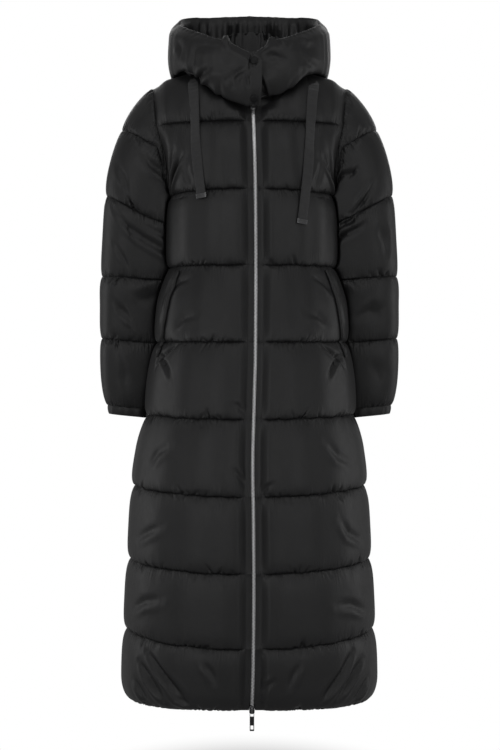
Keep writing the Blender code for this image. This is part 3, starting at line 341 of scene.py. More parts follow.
def pucker_group():
    """Fine puckers that run up and down from the stitching, as high as the cloth is pinched there."""
    made, start, end = group("puckers", {"Across": 260.0, "Up": 34.0}, ["Height"])
    cut = made.nodes.new("ShaderNodeUVMap")
    cut.uv_map = "cut"
    split = made.nodes.new("ShaderNodeSeparateXYZ")
    made.links.new(cut.outputs[0], split.inputs[0])
    place = made.nodes.new("ShaderNodeCombineXYZ")
    for k in (0, 1):
        made.links.new(maths(made, "MULTIPLY", split.outputs[k], start.outputs[k]), place.inputs[k])
    noise = made.nodes.new("ShaderNodeTexNoise")
    noise.inputs["Scale"].default_value = 1.0
    noise.inputs["Detail"].default_value = 2.0
    made.links.new(place.outputs[0], noise.inputs["Vector"])
    near = made.nodes.new("ShaderNodeAttribute")
    near.attribute_name = "pinched"
    made.links.new(maths(made, "MULTIPLY", noise.outputs["Fac"], near.outputs["Fac"]), end.inputs[0])
    return made


WEAVE = weave_group()
PUCKER = pucker_group()
UNEVEN = uneven_group()


def use(tree, made, **values):
    """A group placed in a material with its own values."""
    node = tree.nodes.new("ShaderNodeGroup")
    node.node_tree = made
    for name, value in values.items():
        node.inputs[name.replace("_", " ")].default_value = value
    return node


def mixed(tree, factor, dark, light):
    """A colour between two, by a factor."""
    node = tree.nodes.new("ShaderNodeMix")
    node.data_type = "RGBA"
    node.inputs["A"].default_value = (*dark, 1)
    node.inputs["B"].default_value = (*light, 1)
    tree.links.new(factor, node.inputs["Factor"])
    return node.outputs["Result"]


def ranged(tree, value, low, high):
    """A value from 0 to 1 brought between two limits."""
    node = tree.nodes.new("ShaderNodeMapRange")
    node.inputs["To Min"].default_value = low
    node.inputs["To Max"].default_value = high
    tree.links.new(value, node.inputs["Value"])
    return node.outputs["Result"]


def bumped(tree, height, distance, strength, under=None):
    """A Bump node for a height, on top of another one if there is one."""
    node = tree.nodes.new("ShaderNodeBump")
    node.inputs["Distance"].default_value = distance
    node.inputs["Strength"].default_value = strength
    tree.links.new(height, node.inputs["Height"])
    if under is not None:
        tree.links.new(under, node.inputs["Normal"])
    return node.outputs["Normal"]


def material(name):
    """A new material with its Principled shader and tree."""
    made = bpy.data.materials.new(name)
    made.use_nodes = True
    return made, made.node_tree, made.node_tree.nodes["Principled BSDF"]


# %% The nylon shell
NYLON_DARK = (0.0068, 0.0068, 0.0072)
NYLON_LIGHT = (0.0115, 0.0115, 0.0120)


def nylon(name="black nylon", rough=(0.40, 0.54), gloss=0.40):
    """Tightly woven black nylon with a soft gloss."""
    made, tree, shader = material(name)
    weave = use(tree, WEAVE, Threads_per_metre=2400.0, Flat=0.5)
    uneven = use(tree, UNEVEN, Scale=11.0, Fine=75.0)
    links = tree.links
    links.new(mixed(tree, uneven.outputs["Broad"], NYLON_DARK, NYLON_LIGHT), shader.inputs["Base Color"])
    links.new(ranged(tree, uneven.outputs["Small"], *rough), shader.inputs["Roughness"])
    soft = bumped(tree, uneven.outputs["Small"], 0.0012, 0.25)
    drawn = bumped(tree, use(tree, PUCKER).outputs["Height"], 0.0060, 1.0, soft)
    links.new(bumped(tree, weave.outputs["Height"], 0.00006, 0.35, drawn), shader.inputs["Normal"])
    shader.inputs["Sheen Weight"].default_value = 0.03
    shader.inputs["Sheen Roughness"].default_value = 0.4
    shader.inputs["Specular IOR Level"].default_value = gloss
    return made


NYLON = nylon()
CAP_NYLON = nylon("nylon over the snaps", (0.30, 0.40), 0.16)
print("nylon has", len(NYLON.node_tree.nodes), "nodes")

# %% [markdown]
# ## The drawcords
# Two flat woven tapes come out from under the hood and hang free before the chest. Each has a crimped
# metal end. A flat tape turns a little as it hangs, so its route holds both the way it takes and how far
# it faces outward at each place. The wearer's left tape reaches lower than the right one.

# %% Routes of the drawcords
TAPE_WIDTH = 0.020
TAPE_THICK = 0.0015
TAPE_SECTIONS = 110
CORD_END_SIZE = (0.021, 0.0024, 0.0095)
DRAWCORD_RIGHT = table(
    "x y z turn",
    (
        (-0.1095, -0.0800, -0.0165, 12),
        (-0.1085, -0.0900, -0.0300, 14),
        (-0.1068, -0.1030, -0.0480, 18),
        (-0.1055, -0.1095, -0.0680, 26),
        (-0.1045, -0.1120, -0.0900, 30),
        (-0.1037, -0.1152, -0.1100, 33),
        (-0.1031, -0.1201, -0.1300, 33),
        (-0.1020, -0.1262, -0.1500, 19),
        (-0.1000, -0.1297, -0.1720, 16),
        (-0.0977, -0.1310, -0.1950, 19),
        (-0.0950, -0.1310, -0.2180, 26),
        (-0.0930, -0.1305, -0.2350, 24),
        (-0.0919, -0.1305, -0.2440, 24),
    ),
)
DRAWCORD_LEFT = table(
    "x y z turn",
    (
        (0.1268, -0.0683, -0.0170, 10),
        (0.1245, -0.0859, -0.0320, 10),
        (0.1222, -0.1007, -0.0480, 12),
        (0.1200, -0.1062, -0.0680, 14),
        (0.1188, -0.1085, -0.0900, 16),
        (0.1175, -0.1102, -0.1100, 28),
        (0.1162, -0.1163, -0.1280, 33),
        (0.1150, -0.1225, -0.1480, 33),
        (0.1138, -0.1267, -0.1700, 20),
        (0.1122, -0.1298, -0.1930, 19),
        (0.1098, -0.1302, -0.2180, 23),
        (0.1068, -0.1306, -0.2450, 27),
        (0.1035, -0.1322, -0.2720, 26),
        (0.1009, -0.1332, -0.2935, 25),
    ),
)


# %% Tape and metal
def ribbed_tape():
    """Matt black tape with a fine rib across it, with painted shade in the rib's troughs."""
    made, tree, shader = material("black tape")
    cut = tree.nodes.new("ShaderNodeUVMap")
    cut.uv_map = "cut"
    rib_and_shade = tree.nodes.new("ShaderNodeTexWave")
    rib_and_shade.bands_direction = "DIAGONAL"
    rib_and_shade.inputs["Scale"].default_value = 420.0
    rib_and_shade.inputs["Distortion"].default_value = 0.6
    rib_and_shade.inputs["Detail"].default_value = 1.0
    tree.links.new(cut.outputs[0], rib_and_shade.inputs["Vector"])
    uneven = use(tree, UNEVEN, Scale=30.0, Fine=220.0)
    # The colour follows the rib's bump: darker in its troughs as painted shade, lighter on its tops as painted
    # highlight.
    colour = mixed(tree, rib_and_shade.outputs["Fac"], (0.0095, 0.0095, 0.0100), (0.0230, 0.0230, 0.0240))
    tree.links.new(colour, shader.inputs["Base Color"])
    tree.links.new(ranged(tree, uneven.outputs["Small"], 0.60, 0.82), shader.inputs["Roughness"])
    tree.links.new(bumped(tree, rib_and_shade.outputs["Fac"], 0.0002, 0.5), shader.inputs["Normal"])
    shader.inputs["Sheen Weight"].default_value = 0.25
    return made


def metal(name, colour, rough):
    """A plated metal with faint rubbed patches."""
    made, tree, shader = material(name)
    uneven = use(tree, UNEVEN, Scale=90.0, Fine=600.0)
    darker = tuple(0.8 * part for part in colour)
    tree.links.new(mixed(tree, uneven.outputs["Broad"], darker, colour), shader.inputs["Base Color"])
    tree.links.new(ranged(tree, uneven.outputs["Small"], rough * 0.8, rough * 1.3), shader.inputs["Roughness"])
    shader.inputs["Metallic"].default_value = 1.0
    return made


TAPE = ribbed_tape()
SILVER = metal("bright metal", (0.93, 0.93, 0.94), 0.40)
STEEL = metal("polished metal", (0.20, 0.20, 0.205), 0.16)
GUNMETAL = metal("dark metal", (0.065, 0.065, 0.068), 0.26)


# %% Hang the drawcords
def tape_outline():
    """The tape's cross-section as shares of its width and thickness, with soft edges."""
    half = [(-0.5, 0.0), (-0.488, -0.36), (-0.455, -0.5), (-0.25, -0.47), (0.0, -0.45)]
    front = half + [(-x, y) for x, y in half[-2::-1]]
    return front + [(x, -y) for x, y in front[-2:0:-1]]


def drawcord(word, route):
    """A flat tape along its route, and the crimped metal end below it."""
    line = np.stack([route["x"], route["y"], route["z"]], axis=1)
    distance = along(line)
    stations = np.linspace(0, distance[-1], TAPE_SECTIONS)
    points = np.stack([through(distance, line[:, k], stations) for k in range(3)], axis=1)
    turns = np.radians(through(distance, route["turn"], stations)) * np.sign(line[0, 0])
    across = np.stack([np.cos(turns), np.sin(turns), np.zeros(len(turns))], axis=1)
    down = unit(np.gradient(points, axis=0))
    across = unit(across - down * np.sum(across * down, axis=1, keepdims=True))
    face = np.cross(across, down)
    narrow = 0.45 + 0.55 * soft_step(0.0, 0.012, stations)
    ripple = 0.0004 * np.sin(stations * 260) + 0.0003 * np.sin(stations * 610 + 1)
    sections = []
    for point, wide, thin, width, lift in zip(points, across, face, narrow, ripple):
        sections.append(
            [
                point + wide * x * TAPE_WIDTH * width + thin * (y * TAPE_THICK + lift * math.cos(math.pi * x))
                for x, y in tape_outline()
            ]
        )
    tape = strip(f"drawcord_tape_{word}", sections)
    lay_out(tape, len(tape_outline()), stations)
    dress(tape, TAPE, "drawcord", f"drawcord_{word}")
    centre = points[-1] + down[-1] * (SEAM_GAP + CORD_END_SIZE[2] / 2)
    end = crimped_end(f"drawcord_crimp_{word}")
    end.matrix_world = Matrix.Translation(centre) @ Matrix(
        np.stack([across[-1], face[-1], -down[-1]], axis=1).tolist()
    ).to_4x4()
    dress(end, STEEL, "cord_end", f"drawcord_end_{word}")
    print(f"the {word} drawcord is {distance[-1] * 1000:.0f} mm long")
    return tape, end


def lay_out(piece, corners, stations):
    """Cloth coordinates for a strip: across its outline and along its stations."""
    layer = piece.data.uv_layers.new(name="cut")
    for face in piece.data.polygons:
        for loop in face.loop_indices:
            vertex = piece.data.loops[loop].vertex_index
            place = vertex % corners / corners
            layer.data[loop].uv = (abs(place - 0.5) * 2 * TAPE_WIDTH, stations[vertex // corners])


def crimped_end(name):
    """A flat metal end folded over the tape: a rounded plate with three pressed grooves."""
    width, thick, height = CORD_END_SIZE
    half = height / 2
    profile = [(thick * 0.30, -half), (thick * 0.50, -half + 0.0005)]
    for groove in (-0.0022, 0.0, 0.0022):
        profile += [(thick * 0.50, groove - 0.0005), (thick * 0.34, groove), (thick * 0.50, groove + 0.0005)]
    profile += [(thick * 0.50, half - 0.0005), (thick * 0.30, half)]
    outline = profile + [(-y, z) for y, z in profile[::-1]]
    places = [-0.5, -0.485, -0.46, 0.46, 0.485, 0.5]
    shrink = [0.72, 0.93, 1.0, 1.0, 0.93, 0.72]
    sections = [[(x * width, y * s, z * (0.94 + 0.06 * s)) for y, z in outline] for x, s in zip(places, shrink)]
    return strip(name, sections)


drawcord("left", DRAWCORD_LEFT)
drawcord("right", DRAWCORD_RIGHT)

# %% [markdown]
# ## The coat's own sizes
# These are the cutter's sizes: the heights of the quilt lines round the body, the body's level sections,
# the wave of the zip, the sleeve's tube and the hood's sections. The solids of the frame come from the
# same sizes, so each piece made here lies where its solid lies.

# %% Sizes of the body
WALL = 0.003
BODY_PUFF = 0.012
SLEEVE_PUFF = 0.010
SECTION_POWER = 2.3
SIDE_Y = 0.003  # the side seams and shoulder seams lie in this plane
NECK_POINT = (0.092, 0.008)  # x and z
NECK_FRONT = (-0.100, -0.062)  # y and z of the neckline at the zip
NECK_BACK = (0.083, 0.020)
SHOULDER_POINT = (0.193, -0.0195)  # x and z
UNDERARM_Z = -0.247
ARMHOLE_WIDEST_Z = -0.104
ARMHOLE_FRONT = 0.069
ARMHOLE_BACK = 0.074
CHAIN_SLOT = 0.0034  # half the slot between the fronts
SLIDER_SLOT = 0.0054
SLOT_WIDENS_Z = (-1.190, -1.203)
STRIP = 0.011  # the plain strip beside the zip

LINES = table(
    "front_z side_z back_z",
    (
        (-1.2115, -1.222, -1.226),
        (-1.0967, -1.086, -1.090),
        (-0.9585, -0.949, -0.953),
        (-0.8160, -0.806, -0.811),
        (-0.6730, -0.667, -0.670),
        (-0.5280, -0.525, -0.527),
        (-0.3800, -0.378, -0.379),
        (-0.2360, -0.238, -0.238),
        (-0.1040, -0.104, -0.104),
    ),
)
YOKE_LINE = 8

BODY = table(
    "side_z half_width front_depth back_depth centre_x",
    (
        (-1.222, 0.2370, 0.190, 0.176, 0.000),
        (-1.180, 0.2425, 0.195, 0.180, 0.000),
        (-1.086, 0.2395, 0.197, 0.181, 0.000),
        (-0.949, 0.2330, 0.195, 0.178, 0.000),
        (-0.806, 0.2250, 0.190, 0.172, 0.000),
        (-0.730, 0.2150, 0.184, 0.166, 0.001),
        (-0.667, 0.2010, 0.176, 0.158, 0.002),
        (-0.600, 0.1955, 0.168, 0.151, 0.003),
        (-0.525, 0.1850, 0.156, 0.142, 0.004),
        (-0.450, 0.1790, 0.141, 0.126, 0.005),
        (-0.378, 0.1625, 0.128, 0.112, 0.005),
        (-0.300, 0.1610, 0.134, 0.122, 0.005),
        (-0.238, 0.1602, 0.137, 0.131, 0.004),
        (-0.170, 0.1660, 0.131, 0.133, 0.003),
        (-0.104, 0.1820, 0.112, 0.126, 0.001),
    ),
)

ZIP = table(
    "z x",
    (
        (-1.212, 0.0050),
        (-1.120, 0.0074),
        (-0.980, 0.0085),
        (-0.860, 0.0078),
        (-0.760, 0.0064),
        (-0.640, 0.0092),
        (-0.550, 0.0115),
        (-0.380, 0.0125),
        (-0.240, 0.0116),
        (-0.130, 0.0090),
        (-0.060, 0.0064),
    ),
)

# %% [markdown]
# ## The body as a grid
# A front or a half back is a grid: its rows run level from the zip, or the middle of the back, to the
# side, and its columns run up from the hem. Rows lie close together beside a quilt line, where the cloth
# turns sharply, and further apart where a channel is full. The columns are counted in the widths of the
# panel's main columns, so that the neckline's corner falls on one of them.

# %% Rows and columns
ROWS_A_CHANNEL = 44
COLUMN_PARTS_FRONT = (5, 9, 11, *[15] * 10, 11)
COLUMN_PARTS_BACK = (*[11] * 9, 9)
NECK_COLUMN_FRONT = 9
NECK_COLUMN_BACK = 6
FIRST_COLUMNS = (0, STRIP, 0.030, 0.050)
LAST_COLUMN = 0.022


def row_places(count):
    """Places between two quilt lines, closer together beside the lines."""
    even = np.arange(count) / count
    return even - 0.105 * np.sin(2 * math.pi * even)


def fine_columns(parts):
    """Column places, in main columns, with as many parts in each as given."""
    return np.concatenate([j + np.arange(n) / n for j, n in enumerate(parts)] + [[len(parts)]])


PLACES = row_places(ROWS_A_CHANNEL)
BODY_ROWS = [(channel, place) for channel in range(YOKE_LINE) for place in PLACES]
underarm_place = (UNDERARM_Z - LINES["side_z"][6]) / (LINES["side_z"][7] - LINES["side_z"][6])
UNDERARM_ROW = 6 * ROWS_A_CHANNEL + int(np.argmin(np.abs(PLACES - underarm_place)))
BODY_ROWS[UNDERARM_ROW] = (6, underarm_place)
COLUMNS_FRONT = fine_columns(COLUMN_PARTS_FRONT)
COLUMNS_BACK = fine_columns(COLUMN_PARTS_BACK)
print("a front has", len(BODY_ROWS) + ROWS_A_CHANNEL + 1, "rows and", len(COLUMNS_FRONT), "columns")


# %% The sewn surface of the body
def armhole_y(z, back):
    """The armhole's edge, before or behind the side plane, below its widest height."""
    reach = ARMHOLE_BACK if back else ARMHOLE_FRONT
    share = np.clip((ARMHOLE_WIDEST_Z - z) / (ARMHOLE_WIDEST_Z - UNDERARM_Z), 0, 1)
    away = reach * (1 - share**2.2) ** (1 / 2.2)
    return SIDE_Y + away if back else SIDE_Y - away


def section(side_z, back):
    """Half of a level section as a dense line, from the wearer's right edge to the left one, in plan."""
    half_width, depth, centre_x = read(
        BODY, "side_z", side_z, "half_width", "back_depth" if back else "front_depth", "centre_x"
    )
    depth = depth - SIDE_Y if back else depth + SIDE_Y
    edge_y = armhole_y(side_z, back) if side_z > UNDERARM_Z else SIDE_Y
    reach = abs(edge_y - SIDE_Y) / depth
    full = half_width / (1 - reach**SECTION_POWER) ** (1 / SECTION_POWER)
    last = math.acos(min(1.0, reach ** (SECTION_POWER / 2)))
    angle = np.linspace(-last, last, 481)
    x = centre_x + full * np.sign(angle) * np.abs(np.sin(angle)) ** (2 / SECTION_POWER)
    y = depth * np.cos(angle) ** (2 / SECTION_POWER)
    return x, SIDE_Y + y if back else SIDE_Y - y, centre_x, half_width


def heights(channel, place, back):
    """The heights of a row at the middle and at the side."""
    low, high = channel, min(channel + 1, YOKE_LINE)
    middle = LINES["back_z" if back else "front_z"]
    side = LINES["side_z"]
    return (
        middle[low] + place * (middle[high] - middle[low]),
        side[low] + place * (side[high] - side[low]),
    )


def middle_x(z, back, side):
    """Where a half panel starts: the edge at the zip, or the middle of the back."""
    if back:
        return read(BODY, "side_z", z, "centre_x")[0]
    slot = CHAIN_SLOT + (SLIDER_SLOT - CHAIN_SLOT) * soft_step(*SLOT_WIDENS_Z, z)
    return read(ZIP, "z", z, "x")[0] + side * slot


def cut_at(line, side, x):
    """The part of a line on one side of x, from x outward."""
    if side < 0:
        line = line[::-1]
    keep = side * (line[:, 0] - x) > 1e-6
    start = [np.interp(side * x, side * line[:, 0], line[:, k]) for k in range(3)]
    return np.vstack([start, line[keep]])


def half_row(channel, place, back, side):
    """A row of the body from its middle line to its side, as a dense line."""
    middle_z, side_z = heights(channel, place, back)
    x, y, centre_x, half_width = section(side_z, back)
    z = middle_z + (side_z - middle_z) * ((x - centre_x) / half_width) ** 2
    return cut_at(np.stack([x, y, z], axis=1), side, middle_x(middle_z, back, side))


def neck_and_shoulder(back, side):
    """The top edge of half a panel: the neckline to the neck point, and the shoulder seam."""
    end_y, end_z = NECK_BACK if back else NECK_FRONT
    neck_x, neck_z = NECK_POINT
    angle = np.linspace(0, math.pi / 2, 121)
    x = neck_x * np.sin(angle) ** 0.87
    y = SIDE_Y + (end_y - SIDE_Y) * np.cos(angle) ** 0.87
    z = neck_z + (end_z - neck_z) * (np.cos(angle) if back else np.cos(angle) ** 1.6)
    neckline = np.stack([side * x, y, z], axis=1)
    if not back:
        other = neckline[::-1] * (-1, 1, 1)
        neckline = cut_at(np.vstack([other, neckline[1:]])[::side], side, middle_x(end_z, back, side))
    share = np.linspace(0, 1, 41)
    shoulder = np.stack(
        [
            side * (neck_x + share * (SHOULDER_POINT[0] - neck_x)),
            np.full(41, SIDE_Y),
            neck_z + share * (SHOULDER_POINT[1] - neck_z) + 0.003 * np.sin(math.pi * share),
        ],
        axis=1,
    )
    return neckline, shoulder


def main_columns(length, count, back):
    """How far from its start each main column of a row lies."""
    edge = length - LAST_COLUMN
    if back:
        return np.concatenate([np.linspace(0, edge, count), [length]])
    rest = np.linspace(FIRST_COLUMNS[-1], edge, count - len(FIRST_COLUMNS) + 1)
    return np.concatenate([FIRST_COLUMNS[:-1], rest, [length]])


def half_base(back, side):
    """The sewn surface of half the front or back before it is filled, and each point's place in its row."""
    columns = COLUMNS_BACK if back else COLUMNS_FRONT
    count = int(columns[-1])
    neck_column = NECK_COLUMN_BACK if back else NECK_COLUMN_FRONT
    grid = []
    for channel, place in BODY_ROWS + [(YOKE_LINE, 0)]:
        line = half_row(channel, place, back, side)
        stops = main_columns(along(line)[-1], count, back)
        grid.append(pick(line, np.interp(columns, np.arange(count + 1), stops)))
    neckline, shoulder = neck_and_shoulder(back, side)
    around = along(neckline)[-1]
    if back:
        stops = np.linspace(0, around, neck_column + 1)
    else:
        stops = np.concatenate([[0, STRIP], np.linspace(STRIP, around, neck_column)[1:]])
    on_neck = columns <= neck_column
    top = np.vstack(
        [
            pick(neckline, np.interp(columns[on_neck], np.arange(neck_column + 1), stops)),
            pick(shoulder, (columns[~on_neck] - neck_column) / (count - neck_column) * along(shoulder)[-1]),
        ]
    )
    bottom = grid[-1]
    over = soft_step(0.05, 0.60, columns / count)
    for place in [*PLACES[1:], 1.0]:
        out = (1 - over) * place + over * (1 - math.cos(place * math.pi / 2))
        up = (1 - over) * place + over * math.sin(place * math.pi / 2)
        x = bottom[:, 0] + place * (top[:, 0] - bottom[:, 0])
        y = bottom[:, 1] + out * (top[:, 1] - bottom[:, 1])
        z = bottom[:, 2] + up * (top[:, 2] - bottom[:, 2])
        grid.append(np.stack([x, y, z], axis=1))
    grid = np.array(grid)
    shift = SEAM_GAP / 2 * (1 if back else -1)
    grid[: UNDERARM_ROW + 1, -1, 1] += shift
    grid[-1, int(np.argmax(columns >= neck_column)) :, 1] += shift
    return grid, columns


# %% [markdown]
# ## Filling the channels
# Between two lines of stitching the filling lifts the cloth into a roll: steep at the stitching and flat
# on top, and a little fuller below its middle, because the filling sinks. Beside the zip, where the
# strip is sewn flat, there is no filling.

# %% Fill the body
def roll(place):
    """How full a channel is between its two quilt lines."""
    sunk = np.clip(place, 0, 1) ** 0.90
    return (1 - np.abs(2 * sunk - 1) ** 4.2) ** 0.52


def fullness(grid, columns, back):
    """How far the filling lifts each point of half a panel."""
    places = np.array([place for _, place in BODY_ROWS] + [*PLACES, 1.0])
    channels = np.array([channel for channel, _ in BODY_ROWS] + [YOKE_LINE] * (len(PLACES) + 1))
    side_z = np.array([heights(c, p, back)[1] for c, p in zip(channels, places)])
    from_start = across_from_edge(grid)
    from_end = from_start[:, -1:] - from_start
    least = np.where(side_z < UNDERARM_Z, 0.26, 0.0)[:, None]
    amount = least + (1 - least) * soft_step(-0.004, 0.034, from_end)
    amount *= np.where(least == 0, soft_step(0.0, 0.008, from_end), 1.0)
    if not back:
        amount *= soft_step(STRIP - 0.004, STRIP + 0.016, from_start)
    uneven = 1 + 0.06 * np.sin(2.1 * columns[None] + 1.7 * channels[:, None]) * soft_step(0.0, 0.03, from_end)
    in_yoke = (channels == YOKE_LINE)[:, None]
    hidden = soft_step(0.30, 0.75, places[:, None])
    if not back:
        beside_flap = soft_step(0.020, 0.055, from_start)
        hidden = hidden + beside_flap * (soft_step(0.62, 0.97, places[:, None]) - hidden)
    uneven = np.where(in_yoke, uneven * (1 - 0.95 * hidden), uneven)
    return BODY_PUFF * roll(places)[:, None] * amount * uneven


def body_half(back, side):
    """Half a panel: its sewn surface, its normals, its fullness and its columns."""
    base, columns = half_base(back, side)
    normal = normals_of(base) * side * (-1 if back else 1)
    normal[: UNDERARM_ROW + 1, -1, 1] = 0
    slope = SHOULDER_POINT[1] - NECK_POINT[1], SHOULDER_POINT[0] - NECK_POINT[0]
    first = int(np.argmax(columns >= (NECK_COLUMN_BACK if back else NECK_COLUMN_FRONT)))
    normal[-1, first:] = -side * slope[0], 0, slope[1]
    return base, unit(normal), fullness(base, columns, back), columns


# %% [markdown]
# ## Gathers and creases
# The filling draws the cloth in, so along each line of stitching it gathers into small slanted troughs
# that run a centimetre or two into the channel. Where the coat bends, at the armpits, the waist, the
# pockets and the hem's corners, longer creases cross a channel. Those are listed as paths seen
# from the front or from behind, with the depth and width that each has. A crease is a trough with a soft
# ridge on one side, where the cloth that it took up is pushed, and it fades at its ends.

# %% Press folds into a grid
CREASE_DEPTH = 1.4  # how much deeper the filling makes a crease than the tables give


def crease(u, v, path, depth, width):
    """A soft trough along a path in the cloth, with a ridge on one side, faded at its ends."""
    path = np.asarray(path, float)
    lengths = along(path)
    nearest = np.full(u.shape, np.inf)
    share, over = np.zeros(u.shape), np.zeros(u.shape)
    for a, b, start, stop in zip(path, path[1:], lengths, lengths[1:]):
        step = b - a
        t = np.clip(((u - a[0]) * step[0] + (v - a[1]) * step[1]) / (step @ step), 0, 1)
        far = np.hypot(u - a[0] - t * step[0], v - a[1] - t * step[1])
        share = np.where(far < nearest, (start + t * (stop - start)) / lengths[-1], share)
        over = np.where(far < nearest, (v - a[1]) * step[0] - (u - a[0]) * step[1], over)
        nearest = np.minimum(far, nearest)
    strength = np.sin(math.pi * np.clip(share, 0.03, 0.97)) ** 0.7
    trough = np.exp(-((nearest / width) ** 1.3))
    ridge = np.exp(-(((nearest - 1.9 * width) / width) ** 2)) * np.where(over > 0, 0.60, 0.12)
    return CREASE_DEPTH * depth * strength * (ridge - trough)


def gathers(u, from_line, seed, spacing=0.008, reach=(0.006, 0.022), depth=(0.0014, 0.0052)):
    """Small slanted troughs in clusters that start at a line of stitching and fade inside the channel."""
    rng = np.random.default_rng(seed)
    drop = np.zeros(u.shape)
    at = rng.uniform(0, spacing)
    phase = rng.uniform(0, 6)
    while at < u.max():
        crowd = 0.65 + 0.45 * math.sin(at * 48 + phase) + 0.2 * math.sin(at * 131 + phase)
        length, deep = rng.uniform(*reach) * crowd, rng.uniform(*depth) * crowd
        half = rng.uniform(0.0016, 0.0036)
        lean = rng.uniform(-0.7, 0.7)
        along_it = from_line / max(length, 0.004)
        off = (u - at - lean * from_line) / (half * (0.7 + 0.8 * along_it))
        drop -= deep * np.exp(-(off**2)) * (1 - soft_step(0.15, 1.0, along_it))
        at += spacing * rng.uniform(0.45, 1.7)
    return drop


def wander(u, seed, size):
    """A slow random wave along the cloth, from -size to size."""
    rng = np.random.default_rng(seed)
    knots = np.arange(0, u.max() + 0.03, 0.011)
    return np.interp(u, knots, rng.uniform(-size, size, len(knots)))


def on_cloth(grid, u, v, path, allowed=None):
    """Places seen from the front or from behind, as x and z, turned into places in the cloth."""
    found = []
    for x, z in path:
        far = np.hypot(grid[..., 0] - x, grid[..., 2] - z)
        if allowed is not None:
            far = np.where(allowed, far, np.inf)
        i, j = np.unravel_index(int(np.argmin(far)), far.shape)
        found.append((u[i, j], v[i, j]))
    return found


def pinched(base, lines, seed):
    """How much the cloth is drawn together beside its quilt lines, from 0 to 1."""
    u, v = across_from_edge(base), up_from_foot(base)
    near = np.max([np.exp(-np.abs(v - v[row]) / 0.010) for row in lines], axis=0)
    return near * np.clip(0.55 + wander(u, seed, 0.6), 0, 1)


def mark(piece, values):
    """Keeps those values on the outer points, where the nylon reads them."""
    kept = np.zeros(len(piece.data.vertices))
    kept[: values.size] = values.ravel()
    piece.data.attributes.new("pinched", "FLOAT", "POINT").data.foreach_set("value", kept)


# %% Creases of the fronts and the back
# Each crease: its path as (x, z), its depth and its width.
CREASES_LEFT = (
    (((0.162, -0.236), (0.152, -0.205), (0.137, -0.172)), 0.0078, 0.0052),
    (((0.160, -0.216), (0.152, -0.190), (0.146, -0.160)), 0.0045, 0.0050),
    (((0.120, -0.222), (0.128, -0.200), (0.131, -0.180)), 0.0026, 0.0045),
    (((0.024, -0.812), (0.032, -0.796), (0.044, -0.786)), 0.0030, 0.0040),
    (((0.024, -1.176), (0.033, -1.160), (0.046, -1.150)), 0.0030, 0.0040),
    (((0.150, -0.430), (0.135, -0.412), (0.118, -0.402)), 0.0032, 0.0050),
    (((0.142, -0.490), (0.124, -0.476), (0.104, -0.470)), 0.0030, 0.0060),
    (((0.168, -0.562), (0.152, -0.548), (0.134, -0.530)), 0.0050, 0.0040),
    (((0.166, -0.548), (0.153, -0.570), (0.143, -0.594)), 0.0048, 0.0040),
    (((0.160, -0.548), (0.168, -0.562), (0.175, -0.576)), 0.0030, 0.0036),
    (((0.184, -0.756), (0.160, -0.742), (0.140, -0.716)), 0.0030, 0.0070),
    (((0.206, -0.905), (0.180, -0.886), (0.166, -0.862)), 0.0034, 0.0065),
    (((0.214, -1.040), (0.186, -1.022), (0.160, -1.016)), 0.0036, 0.0070),
    (((0.206, -1.126), (0.188, -1.156), (0.162, -1.190)), 0.0066, 0.0058),
    (((0.188, -1.110), (0.168, -1.146), (0.130, -1.192)), 0.0068, 0.0058),
    (((0.216, -1.166), (0.204, -1.186), (0.190, -1.204)), 0.0044, 0.0060),
    (((0.090, -1.122), (0.078, -1.142), (0.072, -1.162)), 0.0026, 0.0055),
)
CREASES_RIGHT = (
    (((-0.148, -0.234), (-0.138, -0.200), (-0.125, -0.168)), 0.0078, 0.0052),
    (((-0.150, -0.212), (-0.146, -0.186), (-0.140, -0.158)), 0.0045, 0.0050),
    (((-0.104, -0.224), (-0.112, -0.202), (-0.114, -0.186)), 0.0024, 0.0045),
    (((-0.008, -0.792), (-0.014, -0.782), (-0.026, -0.762)), 0.0030, 0.0040),
    (((-0.012, -0.660), (-0.020, -0.646), (-0.032, -0.640)), 0.0024, 0.0040),
    (((-0.142, -0.428), (-0.128, -0.410), (-0.110, -0.404)), 0.0032, 0.0050),
    (((-0.134, -0.496), (-0.118, -0.480), (-0.098, -0.476)), 0.0030, 0.0060),
    (((-0.167, -0.561), (-0.150, -0.546), (-0.132, -0.529)), 0.0050, 0.0040),
    (((-0.164, -0.546), (-0.151, -0.570), (-0.141, -0.595)), 0.0048, 0.0040),
    (((-0.158, -0.546), (-0.166, -0.562), (-0.172, -0.574)), 0.0030, 0.0036),
    (((-0.182, -0.760), (-0.166, -0.736), (-0.142, -0.722)), 0.0032, 0.0070),
    (((-0.204, -0.902), (-0.178, -0.880), (-0.158, -0.872)), 0.0034, 0.0065),
    (((-0.212, -1.036), (-0.190, -1.016), (-0.160, -1.008)), 0.0036, 0.0070),
    (((-0.200, -1.132), (-0.182, -1.160), (-0.156, -1.192)), 0.0070, 0.0056),
    (((-0.186, -1.108), (-0.158, -1.146), (-0.114, -1.192)), 0.0074, 0.0058),
    (((-0.150, -1.168), (-0.130, -1.186), (-0.106, -1.200)), 0.0034, 0.0050),
    (((-0.208, -1.164), (-0.198, -1.184), (-0.186, -1.202)), 0.0040, 0.0060),
    (((-0.082, -1.118), (-0.068, -1.136), (-0.062, -1.156)), 0.0026, 0.0055),
)
